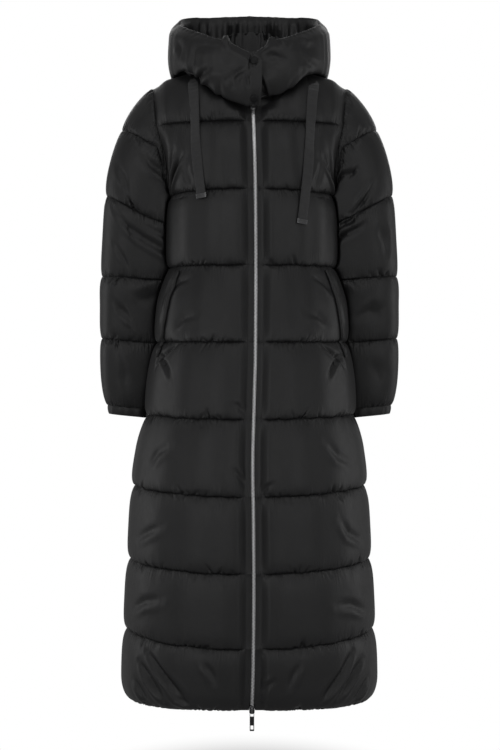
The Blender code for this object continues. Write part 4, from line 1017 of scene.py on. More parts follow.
CREASES_BACK = (
    (((0.160, -0.230), (0.146, -0.200), (0.124, -0.172)), 0.0060, 0.0065),
    (((-0.152, -0.232), (-0.138, -0.198), (-0.118, -0.174)), 0.0060, 0.0065),
    (((0.148, -0.300), (0.118, -0.318), (0.082, -0.322)), 0.0042, 0.0070),
    (((-0.140, -0.296), (-0.108, -0.312), (-0.070, -0.320)), 0.0042, 0.0070),
    (((0.136, -0.434), (0.104, -0.420), (0.070, -0.424)), 0.0038, 0.0065),
    (((-0.128, -0.440), (-0.098, -0.424), (-0.060, -0.430)), 0.0038, 0.0065),
    (((0.066, -0.404), (0.040, -0.416), (0.012, -0.410)), 0.0022, 0.0070),
    (((0.160, -0.610), (0.128, -0.588), (0.090, -0.584)), 0.0040, 0.0075),
    (((-0.152, -0.616), (-0.120, -0.598), (-0.088, -0.600)), 0.0040, 0.0075),
    (((0.186, -0.764), (0.150, -0.744), (0.110, -0.748)), 0.0036, 0.0075),
    (((-0.178, -0.752), (-0.146, -0.736), (-0.110, -0.744)), 0.0036, 0.0075),
    (((0.200, -0.900), (0.164, -0.880), (0.128, -0.886)), 0.0036, 0.0075),
    (((-0.196, -0.906), (-0.158, -0.884), (-0.120, -0.892)), 0.0036, 0.0075),
    (((0.206, -1.124), (0.168, -1.150), (0.126, -1.180)), 0.0052, 0.0080),
    (((-0.204, -1.122), (-0.164, -1.152), (-0.118, -1.176)), 0.0052, 0.0080),
    (((0.040, -1.120), (0.046, -1.150), (0.040, -1.176)), 0.0026, 0.0060),
    (((-0.030, -1.118), (-0.040, -1.146), (-0.036, -1.170)), 0.0026, 0.0060),
)


# %% Gather and crease the body
LINE_WANDERS = 0.0011  # how far a quilt line strays up or down
SAG = 0.28  # how far the filling sinks, as a share of how full it is
GATHERED = (1.20, 1.20, 1.10, 1.00, 1.00, 0.90, 0.75, 0.50, 0.35)  # by channel: the skirt gathers most


def fold_half(back, side, creases, seed):
    """Half a panel filled, gathered and creased: outer and inner points, sewn surface and normals."""
    base, normal, lift, _ = body_half(back, side)
    u, v = across_from_edge(base), up_from_foot(base)
    full = lift.copy()
    beside_zip = 1.0 if back else soft_step(STRIP, STRIP + 0.012, u)
    beside_seam = soft_step(0.0, 0.015, u[:, -1:] - u)
    for line in range(1, YOKE_LINE):
        from_line = np.abs(v - v[line * ROWS_A_CHANNEL])
        drift = wander(u, seed + 50 + line, LINE_WANDERS) * np.exp(-((from_line / 0.008) ** 2))
        base[..., 2] += drift * beside_zip * beside_seam
    for channel in range(YOKE_LINE + 1):
        rows = slice(channel * ROWS_A_CHANNEL, (channel + 1) * ROWS_A_CHANNEL + 1)
        below = v[rows] - v[rows][:1]
        above = v[rows][-1:] - v[rows]
        fold = gathers(u[rows], below, seed + 2 * channel)
        under_line = 0.45 + 0.55 * soft_step(0.62, 0.9, u[rows] / u[rows][:, -1:])
        fold += under_line * gathers(u[rows], above, seed + 2 * channel + 1)
        lift[rows] += GATHERED[channel] * fold * np.minimum(1, full[rows] / 0.003)
    for path, depth, width in creases:
        if not back or side * path[0][0] >= 0:
            lift += crease(u, v, on_cloth(base, u, v, path), depth, width) * np.minimum(1, full / 0.004)
    lift = np.maximum(lift, -0.0006)
    outer = base + normal * lift[..., None]
    outer[: YOKE_LINE * ROWS_A_CHANNEL, :, 2] -= SAG * full[: YOKE_LINE * ROWS_A_CHANNEL]
    inner = base - normal * WALL
    for grid in (outer, inner):
        if back:
            grid[..., 1] = np.maximum(grid[..., 1], SIDE_Y + SEAM_GAP / 2)
        else:
            grid[..., 1] = np.minimum(grid[..., 1], SIDE_Y - SEAM_GAP / 2)
    inner[: UNDERARM_ROW + 1, -1, 1] = SIDE_Y + (-0.00005 if back else 0.00005)  # no light through the seam
    return outer, inner, base, normal


front_left = fold_half(False, 1, CREASES_LEFT, 100)
front_right = fold_half(False, -1, CREASES_RIGHT, 200)
back_left = fold_half(True, 1, CREASES_BACK, 300)
back_right = fold_half(True, -1, CREASES_BACK, 400)
for grid_left, grid_right in zip(back_left[:2], back_right[:2]):
    middle = (grid_left[:, 0] + grid_right[:, 0]) / 2
    grid_left[:, 0] = middle
    grid_right[:, 0] = middle

FRONT_LEFT = dress(wall("shell_front_left", *front_left[:2]), NYLON, "shell", "front_left")
FRONT_RIGHT = dress(wall("shell_front_right", *front_right[:2]), NYLON, "shell", "front_right")
back_outer, back_inner = (
    np.concatenate([right[:, :0:-1], left], axis=1) for right, left in zip(back_right[:2], back_left[:2])
)
BACK = dress(wall("shell_back", back_outer, back_inner), NYLON, "shell", "back")
QUILT_ROWS = [k * ROWS_A_CHANNEL for k in range(1, YOKE_LINE + 1)]
back_base = np.concatenate([back_right[2][:, :0:-1], back_left[2]], axis=1)
for piece, base, seed in ((FRONT_LEFT, front_left[2], 41), (FRONT_RIGHT, front_right[2], 42), (BACK, back_base, 43)):
    mark(piece, pinched(base, QUILT_ROWS, seed))
print("fronts and back:", sum(len(o.data.polygons) for o in (FRONT_LEFT, FRONT_RIGHT, BACK)), "faces")

# %% [markdown]
# ## The sleeves
# A sleeve is a tube whose columns start on the armhole, run over the sleeve's head and go down to the
# cuff. Its quilt lines slope: they lie higher on the outer side. Next to the body the sleeve lies against
# the puffed channels, just clear of them. The deepest creases run slantwise across the upper arm, where
# the hanging sleeve folds.

# %% Sizes of the sleeves
SLEEVE = table(
    "outer_z inner_z centre_x centre_y half_x half_y",
    (
        (-0.232, -0.296, 0.2275, 0.018, 0.0575, 0.064),
        (-0.310, -0.350, 0.2320, 0.026, 0.0580, 0.062),
        (-0.392, -0.402, 0.2360, 0.034, 0.0600, 0.062),
        (-0.455, -0.463, 0.2440, 0.041, 0.0530, 0.058),
        (-0.516, -0.526, 0.2470, 0.046, 0.0510, 0.057),
        (-0.590, -0.598, 0.2495, 0.050, 0.0470, 0.052),
        (-0.650, -0.658, 0.2470, 0.052, 0.0415, 0.046),
    ),
)
SLEEVE_TOP_LINE_Z = -0.150
SLEEVE_TOP_LINE_DROP = 0.103
SLEEVE_CLEAR = 0.0025
HEAD_DOWN = (0.45, 0.50, 0.30)
HEAD_PULL = (0.26, 0.12, 0.42)
HEAD_LEAST = 0.10
FULL_CHANNELS = (0.07, 0.09)
ROWS_A_SLEEVE_CHANNEL = 40
SLEEVE_COLUMNS = 168
TUBE_SQUARE = 0.18  # how much squarer than an ellipse the tube's section is
CUFF_HEIGHT = 0.018
CUFF_IN = 0.0025

# Each crease as on the body: its path as (x, z) seen from the front or from behind, its depth, its width.
CREASES_SLEEVE_LEFT = (
    (((0.164, -0.210), (0.184, -0.198), (0.208, -0.186)), 0.0060, 0.0042),
    (((0.192, -0.200), (0.204, -0.192), (0.214, -0.184)), 0.0042, 0.0036),
    (((0.166, -0.330), (0.192, -0.314), (0.224, -0.292)), 0.0072, 0.0044),
    (((0.180, -0.306), (0.202, -0.286), (0.214, -0.270)), 0.0050, 0.0038),
    (((0.203, -0.274), (0.222, -0.246), (0.242, -0.214)), 0.0055, 0.0060),
    (((0.176, -0.416), (0.192, -0.426), (0.210, -0.434)), 0.0040, 0.0050),
    (((0.250, -0.300), (0.264, -0.322), (0.270, -0.346)), 0.0036, 0.0060),
    (((0.214, -0.470), (0.236, -0.462), (0.258, -0.468)), 0.0030, 0.0055),
    (((0.240, -0.560), (0.256, -0.580), (0.262, -0.604)), 0.0020, 0.0060),
)
CREASES_SLEEVE_RIGHT = (
    (((-0.262, -0.262), (-0.222, -0.308), (-0.168, -0.362)), 0.0040, 0.0060),
    (((-0.212, -0.288), (-0.192, -0.306), (-0.168, -0.324)), 0.0028, 0.0050),
    (((-0.238, -0.238), (-0.230, -0.252), (-0.226, -0.266)), 0.0044, 0.0036),
    (((-0.246, -0.284), (-0.234, -0.300), (-0.222, -0.316)), 0.0030, 0.0040),
    (((-0.212, -0.152), (-0.192, -0.172), (-0.166, -0.188)), 0.0040, 0.0055),
    (((-0.254, -0.180), (-0.242, -0.204), (-0.238, -0.232)), 0.0036, 0.0060),
    (((-0.262, -0.330), (-0.246, -0.352), (-0.240, -0.376)), 0.0036, 0.0060),
    (((-0.186, -0.424), (-0.206, -0.436), (-0.222, -0.440)), 0.0036, 0.0050),
    (((-0.262, -0.450), (-0.244, -0.466), (-0.232, -0.486)), 0.0034, 0.0055),
    (((-0.252, -0.548), (-0.244, -0.580), (-0.250, -0.612)), 0.0018, 0.0060),
)
CREASES_SLEEVE_BACK = (
    (((0.190, -0.196), (0.210, -0.224), (0.238, -0.240)), 0.0050, 0.0060),
    (((0.178, -0.330), (0.206, -0.306), (0.236, -0.300)), 0.0055, 0.0060),
    (((0.262, -0.290), (0.240, -0.320), (0.222, -0.340)), 0.0040, 0.0060),
    (((0.186, -0.430), (0.214, -0.420), (0.246, -0.428)), 0.0044, 0.0060),
    (((0.268, -0.450), (0.246, -0.470), (0.230, -0.488)), 0.0036, 0.0055),
    (((0.216, -0.570), (0.238, -0.588), (0.246, -0.612)), 0.0036, 0.0055),
)


# %% The tube of a sleeve
def body_reach(z, y, side):
    """How far out the filled body comes at a height and depth, on one side."""
    half_width, front_depth, back_depth, centre_x = read(
        BODY, "side_z", z, "half_width", "front_depth", "back_depth", "centre_x"
    )
    depth = np.where(y > SIDE_Y, back_depth - SIDE_Y, front_depth + SIDE_Y)
    share = np.clip(np.abs(y - SIDE_Y) / depth, 0, 0.98)
    channel = np.clip(np.searchsorted(LINES["side_z"], z, side="right") - 1, 0, YOKE_LINE - 1)
    low, high = LINES["side_z"][channel], LINES["side_z"][channel + 1]
    puff = roll(np.clip((z - low) / (high - low), 0, 1)) * BODY_PUFF
    beside = 0.42 + 0.75 * soft_step(0.0, 0.045, np.abs(y - SIDE_Y))
    return side * centre_x + half_width * (1 - share**SECTION_POWER) ** (1 / SECTION_POWER) + puff * beside


def armhole_loop(front_half, back_half, side):
    """The armhole's edge, from the shoulder point down the front and up the back: outer, inner, outward."""
    loops = []
    for k in (0, 1):
        down = front_half[k][UNDERARM_ROW:, -1][::-1]
        up = back_half[k][UNDERARM_ROW:, -1]
        bottom, top = (down[-1] + up[0]) / 2, (down[0] + up[-1]) / 2
        loops.append(np.vstack([[top], down[1:-1], [bottom], up[1:-1], [top]]))
    length = along(loops[0])
    lowest = length[int(np.argmin(loops[0][:, 2]))]
    half = SLEEVE_COLUMNS // 2
    even = np.concatenate(
        [np.linspace(0, lowest, half, endpoint=False), np.linspace(lowest, length[-1], half, endpoint=False)]
    )
    loop, inside = (
        np.stack([np.interp(even, length, line[:, k]) for k in range(3)], axis=1) for line in loops
    )
    tangent = unit(np.roll(loop, -1, axis=0) - np.roll(loop, 1, axis=0))
    outward = unit(np.cross(tangent, unit(loop - inside)))
    into_hole = loop.mean(axis=0) + (0.02 * side, 0, 0) - loop
    outward *= np.sign(np.sum(outward * into_hole, axis=1, keepdims=True))
    return loop + SEAM_GAP * outward, inside + SEAM_GAP * outward, outward


def tube_point(station, angle, side):
    """A point of the sleeve's tube: the station counts the rows of the table."""
    outer_z, inner_z, centre_x, centre_y, half_x, half_y = (
        through(np.arange(len(SLEEVE["outer_z"])), SLEEVE[name], station) for name in SLEEVE
    )
    square = TUBE_SQUARE + 0.60 * np.clip(-np.cos(angle), 0, 1) * np.clip(np.sin(angle), 0, 1)
    wide = np.cos(angle) * (1 + square * np.sin(angle) ** 2)
    deep = np.sin(angle) * (1 + square * np.cos(angle) ** 2)
    height = (outer_z + inner_z) / 2 + (outer_z - inner_z) / 2 * wide
    return np.stack([side * (centre_x + half_x * wide), centre_y - half_y * deep, height], axis=-1)


def sleeve_head(start, outward, angle, side):
    """The lines from the armhole over the sleeve's head to the start of the tube, one for each column."""
    end = tube_point(np.zeros(len(start)), angle, side)
    up = unit(end - tube_point(np.full(len(start), 0.5), angle, side))
    far = np.linalg.norm(end - start, axis=1)[:, None]
    from_top = (1 - np.cos(angle)) / 2
    down = HEAD_DOWN[0] + HEAD_DOWN[1] * np.sin(math.pi * from_top) - HEAD_DOWN[2] * from_top**3
    sideways = from_top[:, None] ** 3
    leave = unit(outward * (1 - sideways) + sideways * (side, 0, 0) - down[:, None] * (0, 0, 1))
    pull = (HEAD_PULL[0] + HEAD_PULL[1] * from_top**2)[:, None]
    controls = (start, start + leave * far * pull, end + up * far * HEAD_PULL[2], end)
    t = np.linspace(0, 1, 61)[:, None, None]
    weights = ((1 - t) ** 3, 3 * t * (1 - t) ** 2, 3 * t**2 * (1 - t), t**3)
    return sum(weight * control for weight, control in zip(weights, controls))


def sleeve_base(start, outward, side):
    """The sewn surface of a sleeve, and how full its filling is at each point."""
    angle = np.arange(SLEEVE_COLUMNS) * 2 * math.pi / SLEEVE_COLUMNS
    head = sleeve_head(start, outward, angle, side)
    height = (start[:, 2] - SLEEVE_TOP_LINE_Z) / (SHOULDER_POINT[1] - SLEEVE_TOP_LINE_Z)
    lengths = np.array([along(head[:, k])[-1] for k in range(SLEEVE_COLUMNS)])
    first = np.maximum(SLEEVE_TOP_LINE_DROP * np.clip(height, 0, 1), HEAD_LEAST * lengths)
    places = row_places(ROWS_A_SLEEVE_CHANNEL)
    stops = np.concatenate([places[:, None] * first, first + places[:, None] * (lengths - first)])
    rows = np.stack([pick(head[:, k], stops[:, k]) for k in range(SLEEVE_COLUMNS)], axis=1)
    fill = np.concatenate(
        [
            roll(places)[:, None] * np.minimum(1, first / FULL_CHANNELS[0]),
            roll(places)[:, None] * np.clip((lengths - first) / FULL_CHANNELS[1], 0.3, 1),
        ]
    )
    tube, tube_fill = [], []
    for station in [2.0 * (channel + place) for channel in range(3) for place in places] + [6.0]:
        tube.append(tube_point(np.full(SLEEVE_COLUMNS, station), angle, side))
        tube_fill.append(np.full(SLEEVE_COLUMNS, roll(station / 2 % 1)))
    return np.concatenate([rows, tube]), np.concatenate([fill, tube_fill]), angle


# %% Gather and crease the sleeves
def fold_sleeve(front_half, back_half, side, creases, seed):
    """A sleeve filled, gathered and creased: its outer and inner points and its normals."""
    start, start_inside, outward = armhole_loop(front_half, back_half, side)
    base, fill, angle = sleeve_base(start, outward, side)
    beside = 0.42 + 0.58 * np.abs(np.sin(angle))
    uneven = 1 + 0.05 * np.sin(7 * angle + np.arange(len(base))[:, None] / ROWS_A_SLEEVE_CHANNEL * 2)
    full = SLEEVE_PUFF * fill * beside * uneven
    normal = normals_of(base, wrap=True)
    normal *= np.sign(np.sum(normal * (base - base.mean(axis=1, keepdims=True)), axis=-1).sum())
    u, v = across_from_edge(base), up_from_foot(base)
    around = u[:, -1:]
    lift = full.copy()
    for channel in range(5):
        rows = slice(channel * ROWS_A_SLEEVE_CHANNEL, (channel + 1) * ROWS_A_SLEEVE_CHANNEL + 1)
        under = v[rows] - v[rows][:1]
        over = v[rows][-1:] - v[rows]
        fold = gathers(u[rows], under, seed + 2 * channel)
        fold += 0.8 * gathers(u[rows], over, seed + 2 * channel + 1)
        ends = soft_step(0, 0.008, u[rows]) * soft_step(0, 0.008, around[rows] - u[rows])
        lift[rows] += fold * ends * np.minimum(1, full[rows] / 0.003)
    faces_front = np.broadcast_to((angle > 0.1) & (angle < math.pi - 0.1), base.shape[:2])
    for group_of_creases, allowed in ((creases, faces_front), (CREASES_SLEEVE_BACK, ~faces_front)):
        for path, depth, width in group_of_creases:
            seen = path if allowed is faces_front else [(side * x, z) for x, z in path]
            cloth = on_cloth(base, u, v, seen, allowed)
            lift += crease(u, v, cloth, depth, width) * np.minimum(1, full / 0.0035)
    lift = np.maximum(lift, -0.0006)
    outer = base + normal * lift[..., None]
    outer[ROWS_A_SLEEVE_CHANNEL:, :, 2] -= SAG * full[ROWS_A_SLEEVE_CHANNEL:]
    away = soft_step(0.0, 0.012, np.linalg.norm(base - base[:1], axis=-1))
    clear = body_reach(outer[..., 2], outer[..., 1], side) + SLEEVE_CLEAR
    short = np.maximum(0, clear - side * outer[..., 0]) * away
    beside_body = soft_step(0.25, 0.75, -np.cos(angle)) * soft_step(-0.64, -0.60, outer[..., 2])
    short -= np.clip(side * outer[..., 0] - clear, 0, 0.016) * away * beside_body
    outer[..., 0] += side * short
    base[..., 0] += side * short
    inner = base - normal * WALL
    inner[0] = start_inside
    return outer, inner, base, normal


def cuff(name, edge, normal, seed):
    """The band at the sleeve's end, a little narrower, drawn in by its elastic."""
    inward = -unit(normal * (1, 1, 0))
    rng = np.random.default_rng(seed)
    phase = np.cumsum(rng.uniform(0.5, 1.5, len(edge))) * 0.62
    rows = []
    for t in np.linspace(0, 1, 11):
        ribs = 0.0005 * np.sin(phase) * math.sin(math.pi * t) ** 0.5
        inset = 0.0004 + (CUFF_IN - 0.0004) * t - 0.0012 * math.sin(math.pi * t) ** 0.7 - ribs
        rows.append(edge + inward * np.reshape(inset, (-1, 1)) - (0, 0, SEAM_GAP + (CUFF_HEIGHT - SEAM_GAP) * t))
    outer = np.array(rows)
    band = wall(name, outer, outer + inward * WALL, every=2, wrap=True)
    return dress(band, NYLON, "shell", name.replace("band", "cuff")), outer


sleeve_left = fold_sleeve(front_left, back_left, 1, CREASES_SLEEVE_LEFT, 500)
sleeve_right = fold_sleeve(front_right, back_right, -1, CREASES_SLEEVE_RIGHT, 600)
SLEEVE_LEFT = dress(wall("shell_sleeve_left", *sleeve_left[:2], wrap=True), NYLON, "shell", "sleeve_left")
SLEEVE_RIGHT = dress(wall("shell_sleeve_right", *sleeve_right[:2], wrap=True), NYLON, "shell", "sleeve_right")
CUFF_LEFT, cuff_left = cuff("band_left", sleeve_left[2][-1], sleeve_left[3][-1], 7)
CUFF_RIGHT, cuff_right = cuff("band_right", sleeve_right[2][-1], sleeve_right[3][-1], 8)
SLEEVE_ROWS = [k * ROWS_A_SLEEVE_CHANNEL for k in range(6)]
mark(SLEEVE_LEFT, pinched(sleeve_left[2], SLEEVE_ROWS, 44))
mark(SLEEVE_RIGHT, pinched(sleeve_right[2], SLEEVE_ROWS, 45))
print("sleeves:", sum(len(o.data.polygons) for o in (SLEEVE_LEFT, SLEEVE_RIGHT)), "faces")

# %% [markdown]
# ## The hood
# The hood is worn down, so it stands round the neck as a high padded collar. Its lower edge is sewn to the
# neckline, it rolls out over that seam, and its rim is turned in. It has two sides and a centre piece at
# the back. At the throat the wearer's right side laps over the left one. Each section of it is drawn from
# the seam outward and up to the rim on the outer side, and from the seam up to the rim on the inner side.
# Between the two the edge is turned as a soft fold.

# %% Sizes of the hood
NECK_GAP = 0.0004
HOOD = table(
    "azimuth under_r under_z low_r low_z belly_r belly_z high_r high_z rim_r rim_z",
    (
        (0, 0.112, -0.064, 0.124, -0.079, 0.141, -0.035, 0.140, 0.002, 0.130, 0.022),
        (13, 0.113, -0.056, 0.125, -0.070, 0.143, -0.026, 0.143, 0.018, 0.132, 0.0380),
        (16, 0.114, -0.053, 0.1255, -0.068, 0.144, -0.023, 0.144, 0.024, 0.133, 0.0430),
        (18.5, 0.1145, -0.051, 0.126, -0.066, 0.145, -0.020, 0.145, 0.028, 0.134, 0.0550),
        (21.5, 0.1155, -0.048, 0.1265, -0.062, 0.1465, -0.017, 0.1465, 0.030, 0.134, 0.0560),
        (24, 0.116, -0.046, 0.1275, -0.060, 0.1475, -0.015, 0.147, 0.031, 0.135, 0.0500),
        (27, 0.117, -0.043, 0.129, -0.056, 0.149, -0.012, 0.148, 0.033, 0.136, 0.0510),
        (40, 0.122, -0.022, 0.137, -0.030, 0.155, 0.000, 0.152, 0.043, 0.138, 0.063),
        (60, 0.124, 0.004, 0.149, -0.005, 0.163, 0.022, 0.160, 0.064, 0.142, 0.083),
        (80, 0.124, 0.013, 0.154, 0.000, 0.163, 0.038, 0.160, 0.084, 0.143, 0.102),
        (90, 0.122, 0.014, 0.153, 0.000, 0.162, 0.042, 0.160, 0.090, 0.143, 0.110),
        (110, 0.124, 0.017, 0.160, 0.005, 0.168, 0.042, 0.166, 0.112, 0.148, 0.134),
        (135, 0.140, -0.004, 0.172, -0.055, 0.185, 0.010, 0.178, 0.115, 0.148, 0.151),
        (160, 0.131, -0.020, 0.172, -0.110, 0.192, -0.020, 0.180, 0.115, 0.128, 0.157),
        (180, 0.132, -0.025, 0.170, -0.130, 0.192, -0.030, 0.178, 0.112, 0.118, 0.158),
    ),
)
HOOD_INSIDE = table(
    "azimuth roll_r roll_z deep_r deep_z wall_r wall_z",
    (
        (0, 0.105, -0.048, 0.113, -0.040, 0.127, -0.015),
        (40, 0.112, -0.011, 0.121, -0.002, 0.137, 0.016),
        (60, 0.113, 0.014, 0.126, 0.019, 0.144, 0.038),
        (90, 0.112, 0.026, 0.128, 0.032, 0.144, 0.056),
        (110, 0.104, 0.050, 0.126, 0.050, 0.146, 0.082),
        (135, 0.091, 0.098, 0.120, 0.082, 0.140, 0.108),
        (160, 0.084, 0.114, 0.106, 0.086, 0.120, 0.116),
        (180, 0.082, 0.117, 0.102, 0.086, 0.113, 0.116),
    ),
)
HOOD_PAD_AT_RIM = 0.010
LAP_BELOW = 0.0155
LAP_EDGE = 0.024
LAP_NEAR = 0.0065
LAP_PARTS = 14
HOOD_FOLD_IN = 0.002
HOOD_FOLD_UP = 0.0055
HOOD_FOLD_INSIDE = 0.0065
FOLD_RISES = (25, 50, 0.004)
CORNER_CLEAR = 0.0009
HOOD_ROWS = 64
RIM_ROWS = 9
CENTRE_POINTS = 12  # how many points of the neckline the centre piece takes on each side of the middle


# %% Sections of the hood
def neckline(front_half, back_half):
    """The neckline from the zip to the middle of the back: outer edge, inner edge, and the way off."""
    on_front, on_back = COLUMNS_FRONT <= NECK_COLUMN_FRONT, COLUMNS_BACK <= NECK_COLUMN_BACK
    outer, inner = (
        np.vstack([front_half[k][-1, on_front], back_half[k][-1, on_back][-2::-1]]) for k in (0, 1)
    )
    off = unit(np.cross(np.gradient(outer, axis=0), outer - inner))
    off *= np.sign(np.sum(off * ((0, 0, 0.05) - outer), axis=1, keepdims=True))
    return outer, inner, off


def hood_section(azimuth, side, seam=None, tuck=0.0, turn=None):
    """One section of the hood: its outer points from the seam to the rim, and the inner points beside them."""
    under_r, under_z, low_r, low_z, belly_r, belly_z, high_r, high_z, rim_r, rim_z = read(
        HOOD, "azimuth", azimuth, *list(HOOD)[1:]
    )
    roll_r, roll_z, deep_r, deep_z, wall_r, wall_z = read(
        HOOD_INSIDE, "azimuth", azimuth, *list(HOOD_INSIDE)[1:]
    )
    turn = math.radians(azimuth if turn is None else turn)
    out = np.array([side * math.sin(turn), -math.cos(turn), 0.0])

    def at(radius, z):
        return out * radius + np.array([0, 0, z])

    outer = [
        at(low_r - tuck, low_z + tuck),
        at(belly_r - tuck, belly_z),
        at(high_r - tuck, high_z),
        at(rim_r - tuck * 0.9, rim_z - tuck * 0.15),
    ]
    if seam is None:
        outer = [
            at(low_r - 0.0100, low_z + 0.0060),
            at(low_r - 0.0085, low_z + 0.0020),
            at(low_r - 0.0045, low_z - 0.0005),
        ] + outer
        inner = [
            at(low_r - 0.0095, low_z + 0.0100),
            at(low_r - 0.0060, low_z + 0.0180),
            at(low_r - 0.0010, low_z + 0.0260),
            at(belly_r - 0.0125, belly_z - 0.0040),
            at(high_r - 0.0110, high_z - 0.0100),
            at(rim_r - 0.0010, rim_z - 0.0150),
            at(rim_r - 0.0035, rim_z - 0.0010),
        ]
    else:
        edge, edge_inside, off = seam
        up = unit(edge - edge_inside)
        rise = HOOD_FOLD_INSIDE + FOLD_RISES[2] * soft_step(*FOLD_RISES[:2], azimuth)
        outer = [
            edge + off * NECK_GAP,
            edge + off * HOOD_FOLD_IN + up * HOOD_FOLD_UP,
            at(under_r - tuck * 0.5, under_z + tuck * 0.2),
        ] + outer
        inner = [
            edge_inside + off * NECK_GAP,
            edge_inside + off * HOOD_FOLD_INSIDE + up * rise,
            at(roll_r - tuck * 0.6, roll_z),
            at(deep_r - tuck, deep_z),
            at(wall_r - tuck, wall_z),
            at(rim_r - HOOD_PAD_AT_RIM - tuck * 0.9, rim_z - 0.016 - tuck * 0.15),
            at(rim_r - HOOD_PAD_AT_RIM * 0.6 - tuck * 0.9, rim_z - 0.001 - tuck * 0.15),
        ]
    stations = np.linspace(0, 1, HOOD_ROWS) ** 0.92 * 6
    return [
        np.stack([through(np.arange(7.0), np.array(line)[:, k], stations) for k in range(3)], axis=1)
        for line in (outer, inner)
    ]


def turned_rim(outer, inner):
    """Rows that turn the rim over as a soft fold: half of the way from the outer edge to the inner one."""
    middle = (outer[-1] + inner[-1]) / 2
    half = (inner[-1] - outer[-1]) / 2
    up = unit(outer[-1] - outer[-3]) * np.linalg.norm(half, axis=-1, keepdims=True)
    rows = []
    for t in np.linspace(0, 1, RIM_ROWS + 1)[1:]:
        angle = math.pi * t
        rows.append(middle - half * math.cos(angle) + up * 0.85 * math.sin(angle))
    return np.array(rows)


def hood_grids(sections):
    return (np.stack(grids, axis=1) for grids in zip(*sections))


neck_left = neckline(front_left, back_left)
neck_right = neckline(front_right, back_right)
print("the neckline has", len(neck_left[0]), "points a side")

# %% [markdown]
# The filling of the hood isn't quilted, so it bulks up where it likes: long soft hollows across the sides,
# sharp short creases beside the throat, where the lap pulls, and deep upright gathers inside the back,
# where the drawcord bunches the rim. A negative depth makes a ridge, as at the two knobs of cloth where
# the rim is gathered most.

# %% Creases of the hood
CREASES_HOOD_RIGHT = (
    (((-0.046, -0.034), (-0.024, -0.020), (-0.006, -0.008)), 0.0050, 0.0042),
    (((-0.112, -0.016), (-0.096, -0.006), (-0.072, -0.003)), 0.0060, 0.0055),
    (((-0.070, -0.003), (-0.050, -0.006), (-0.030, -0.001)), 0.0020, 0.0060),
    (((-0.130, 0.010), (-0.121, -0.008), (-0.114, -0.026)), 0.0070, 0.0060),
    (((-0.140, -0.006), (-0.131, -0.018), (-0.126, -0.030)), 0.0050, 0.0045),
    (((-0.104, 0.034), (-0.080, 0.037), (-0.050, 0.032)), 0.0026, 0.0075),
    (((-0.025, -0.022), (-0.030, -0.032), (-0.034, -0.042)), 0.0028, 0.0036),
    (((-0.056, -0.032), (-0.044, -0.048), (-0.026, -0.056)), 0.0026, 0.0050),
    (((-0.006, -0.020), (-0.001, -0.034), (0.002, -0.046)), 0.0024, 0.0040),
    (((-0.102, 0.040), (-0.106, 0.012), (-0.104, -0.008)), 0.0030, 0.0070),
    (((-0.138, 0.060), (-0.132, 0.040), (-0.136, 0.022)), 0.0030, 0.0080),
    (((-0.040, 0.058), (-0.045, 0.046), (-0.040, 0.036)), -0.0042, 0.0056),
)
CREASES_HOOD_LEFT = (
    (((0.026, 0.010), (0.048, 0.016), (0.078, 0.012)), 0.0040, 0.0075),
    (((0.024, -0.003), (0.044, -0.002), (0.068, -0.003)), 0.0018, 0.0030),
    (((0.018, -0.022), (0.027, -0.036), (0.037, -0.051)), 0.0046, 0.0034),
    (((0.016, -0.040), (0.026, -0.050), (0.036, -0.060)), 0.0034, 0.0032),
    (((0.064, -0.030), (0.090, -0.022), (0.118, -0.022)), 0.0060, 0.0062),
    (((0.104, 0.018), (0.116, 0.006), (0.132, 0.004)), 0.0026, 0.0070),
    (((0.092, 0.044), (0.110, 0.036), (0.128, 0.040)), 0.0024, 0.0080),
    (((0.066, 0.054), (0.062, 0.044), (0.066, 0.036)), -0.0036, 0.0054),
)
CREASES_HOOD_BACK = (
    (((0.090, 0.110), (0.104, 0.070), (0.100, 0.020)), 0.0045, 0.0080),
    (((-0.086, 0.112), (-0.108, 0.064), (-0.104, 0.010)), 0.0045, 0.0080),
    (((0.128, 0.060), (0.120, 0.016), (0.100, -0.030)), 0.0040, 0.0075),
    (((-0.130, 0.064), (-0.118, 0.010), (-0.096, -0.036)), 0.0040, 0.0075),
    (((0.066, 0.128), (0.074, 0.090), (0.070, 0.050)), 0.0036, 0.0070),
    (((-0.058, 0.130), (-0.070, 0.086), (-0.062, 0.040)), 0.0036, 0.0070),
)
GATHERS_INSIDE = (
    # Upright folds inside the back: where they lie across, their depth and width.
    (-0.118, 0.0040, 0.0060),
    (-0.100, 0.0060, 0.0052),
    (-0.084, 0.0045, 0.0046),
    (-0.062, 0.0026, 0.0050),
    (-0.040, 0.0070, 0.0050),
    (-0.027, 0.0075, 0.0042),
    (-0.008, 0.0020, 0.0050),
    (0.016, 0.0022, 0.0052),
    (0.033, 0.0070, 0.0046),
    (0.048, 0.0075, 0.0044),
    (0.064, 0.0030, 0.0048),
    (0.078, 0.0040, 0.0046),
    (0.098, 0.0056, 0.0052),
    (0.116, 0.0040, 0.0060),
)


SNAPS = {"snap_upper": (0.0089, 0.0055), "snap_lower": (0.0097, -0.0650)}  # x and z on the flap


def ring(x, z, radius, start):
    """Most of a circle as a path, where a snap presses the flap in."""
    turns = np.radians(start + np.arange(0, 331, 30))
    return tuple((x + radius * math.cos(turn), z + radius * math.sin(turn)) for turn in turns)


for place, start in zip(SNAPS.values(), (20, 50)):
    CREASES_HOOD_RIGHT += ((ring(*place, 0.0098, start), 0.0026, 0.0024),)


# %% Fold the hood
def press(grid, creases, allowed):
    """The lift that creases give to a grid of the hood, where they lie within the part of it allowed."""
    u, v = across_from_edge(grid), up_from_foot(grid)
    lift = np.zeros(u.shape)
    for path, depth, width in creases:
        on_this_side = allowed & (grid[..., 0] * path[0][0] > 0)
        if on_this_side.sum() > HOOD_ROWS:
            lift += crease(u, v, on_cloth(grid, u, v, path, on_this_side), depth, width)
    return lift


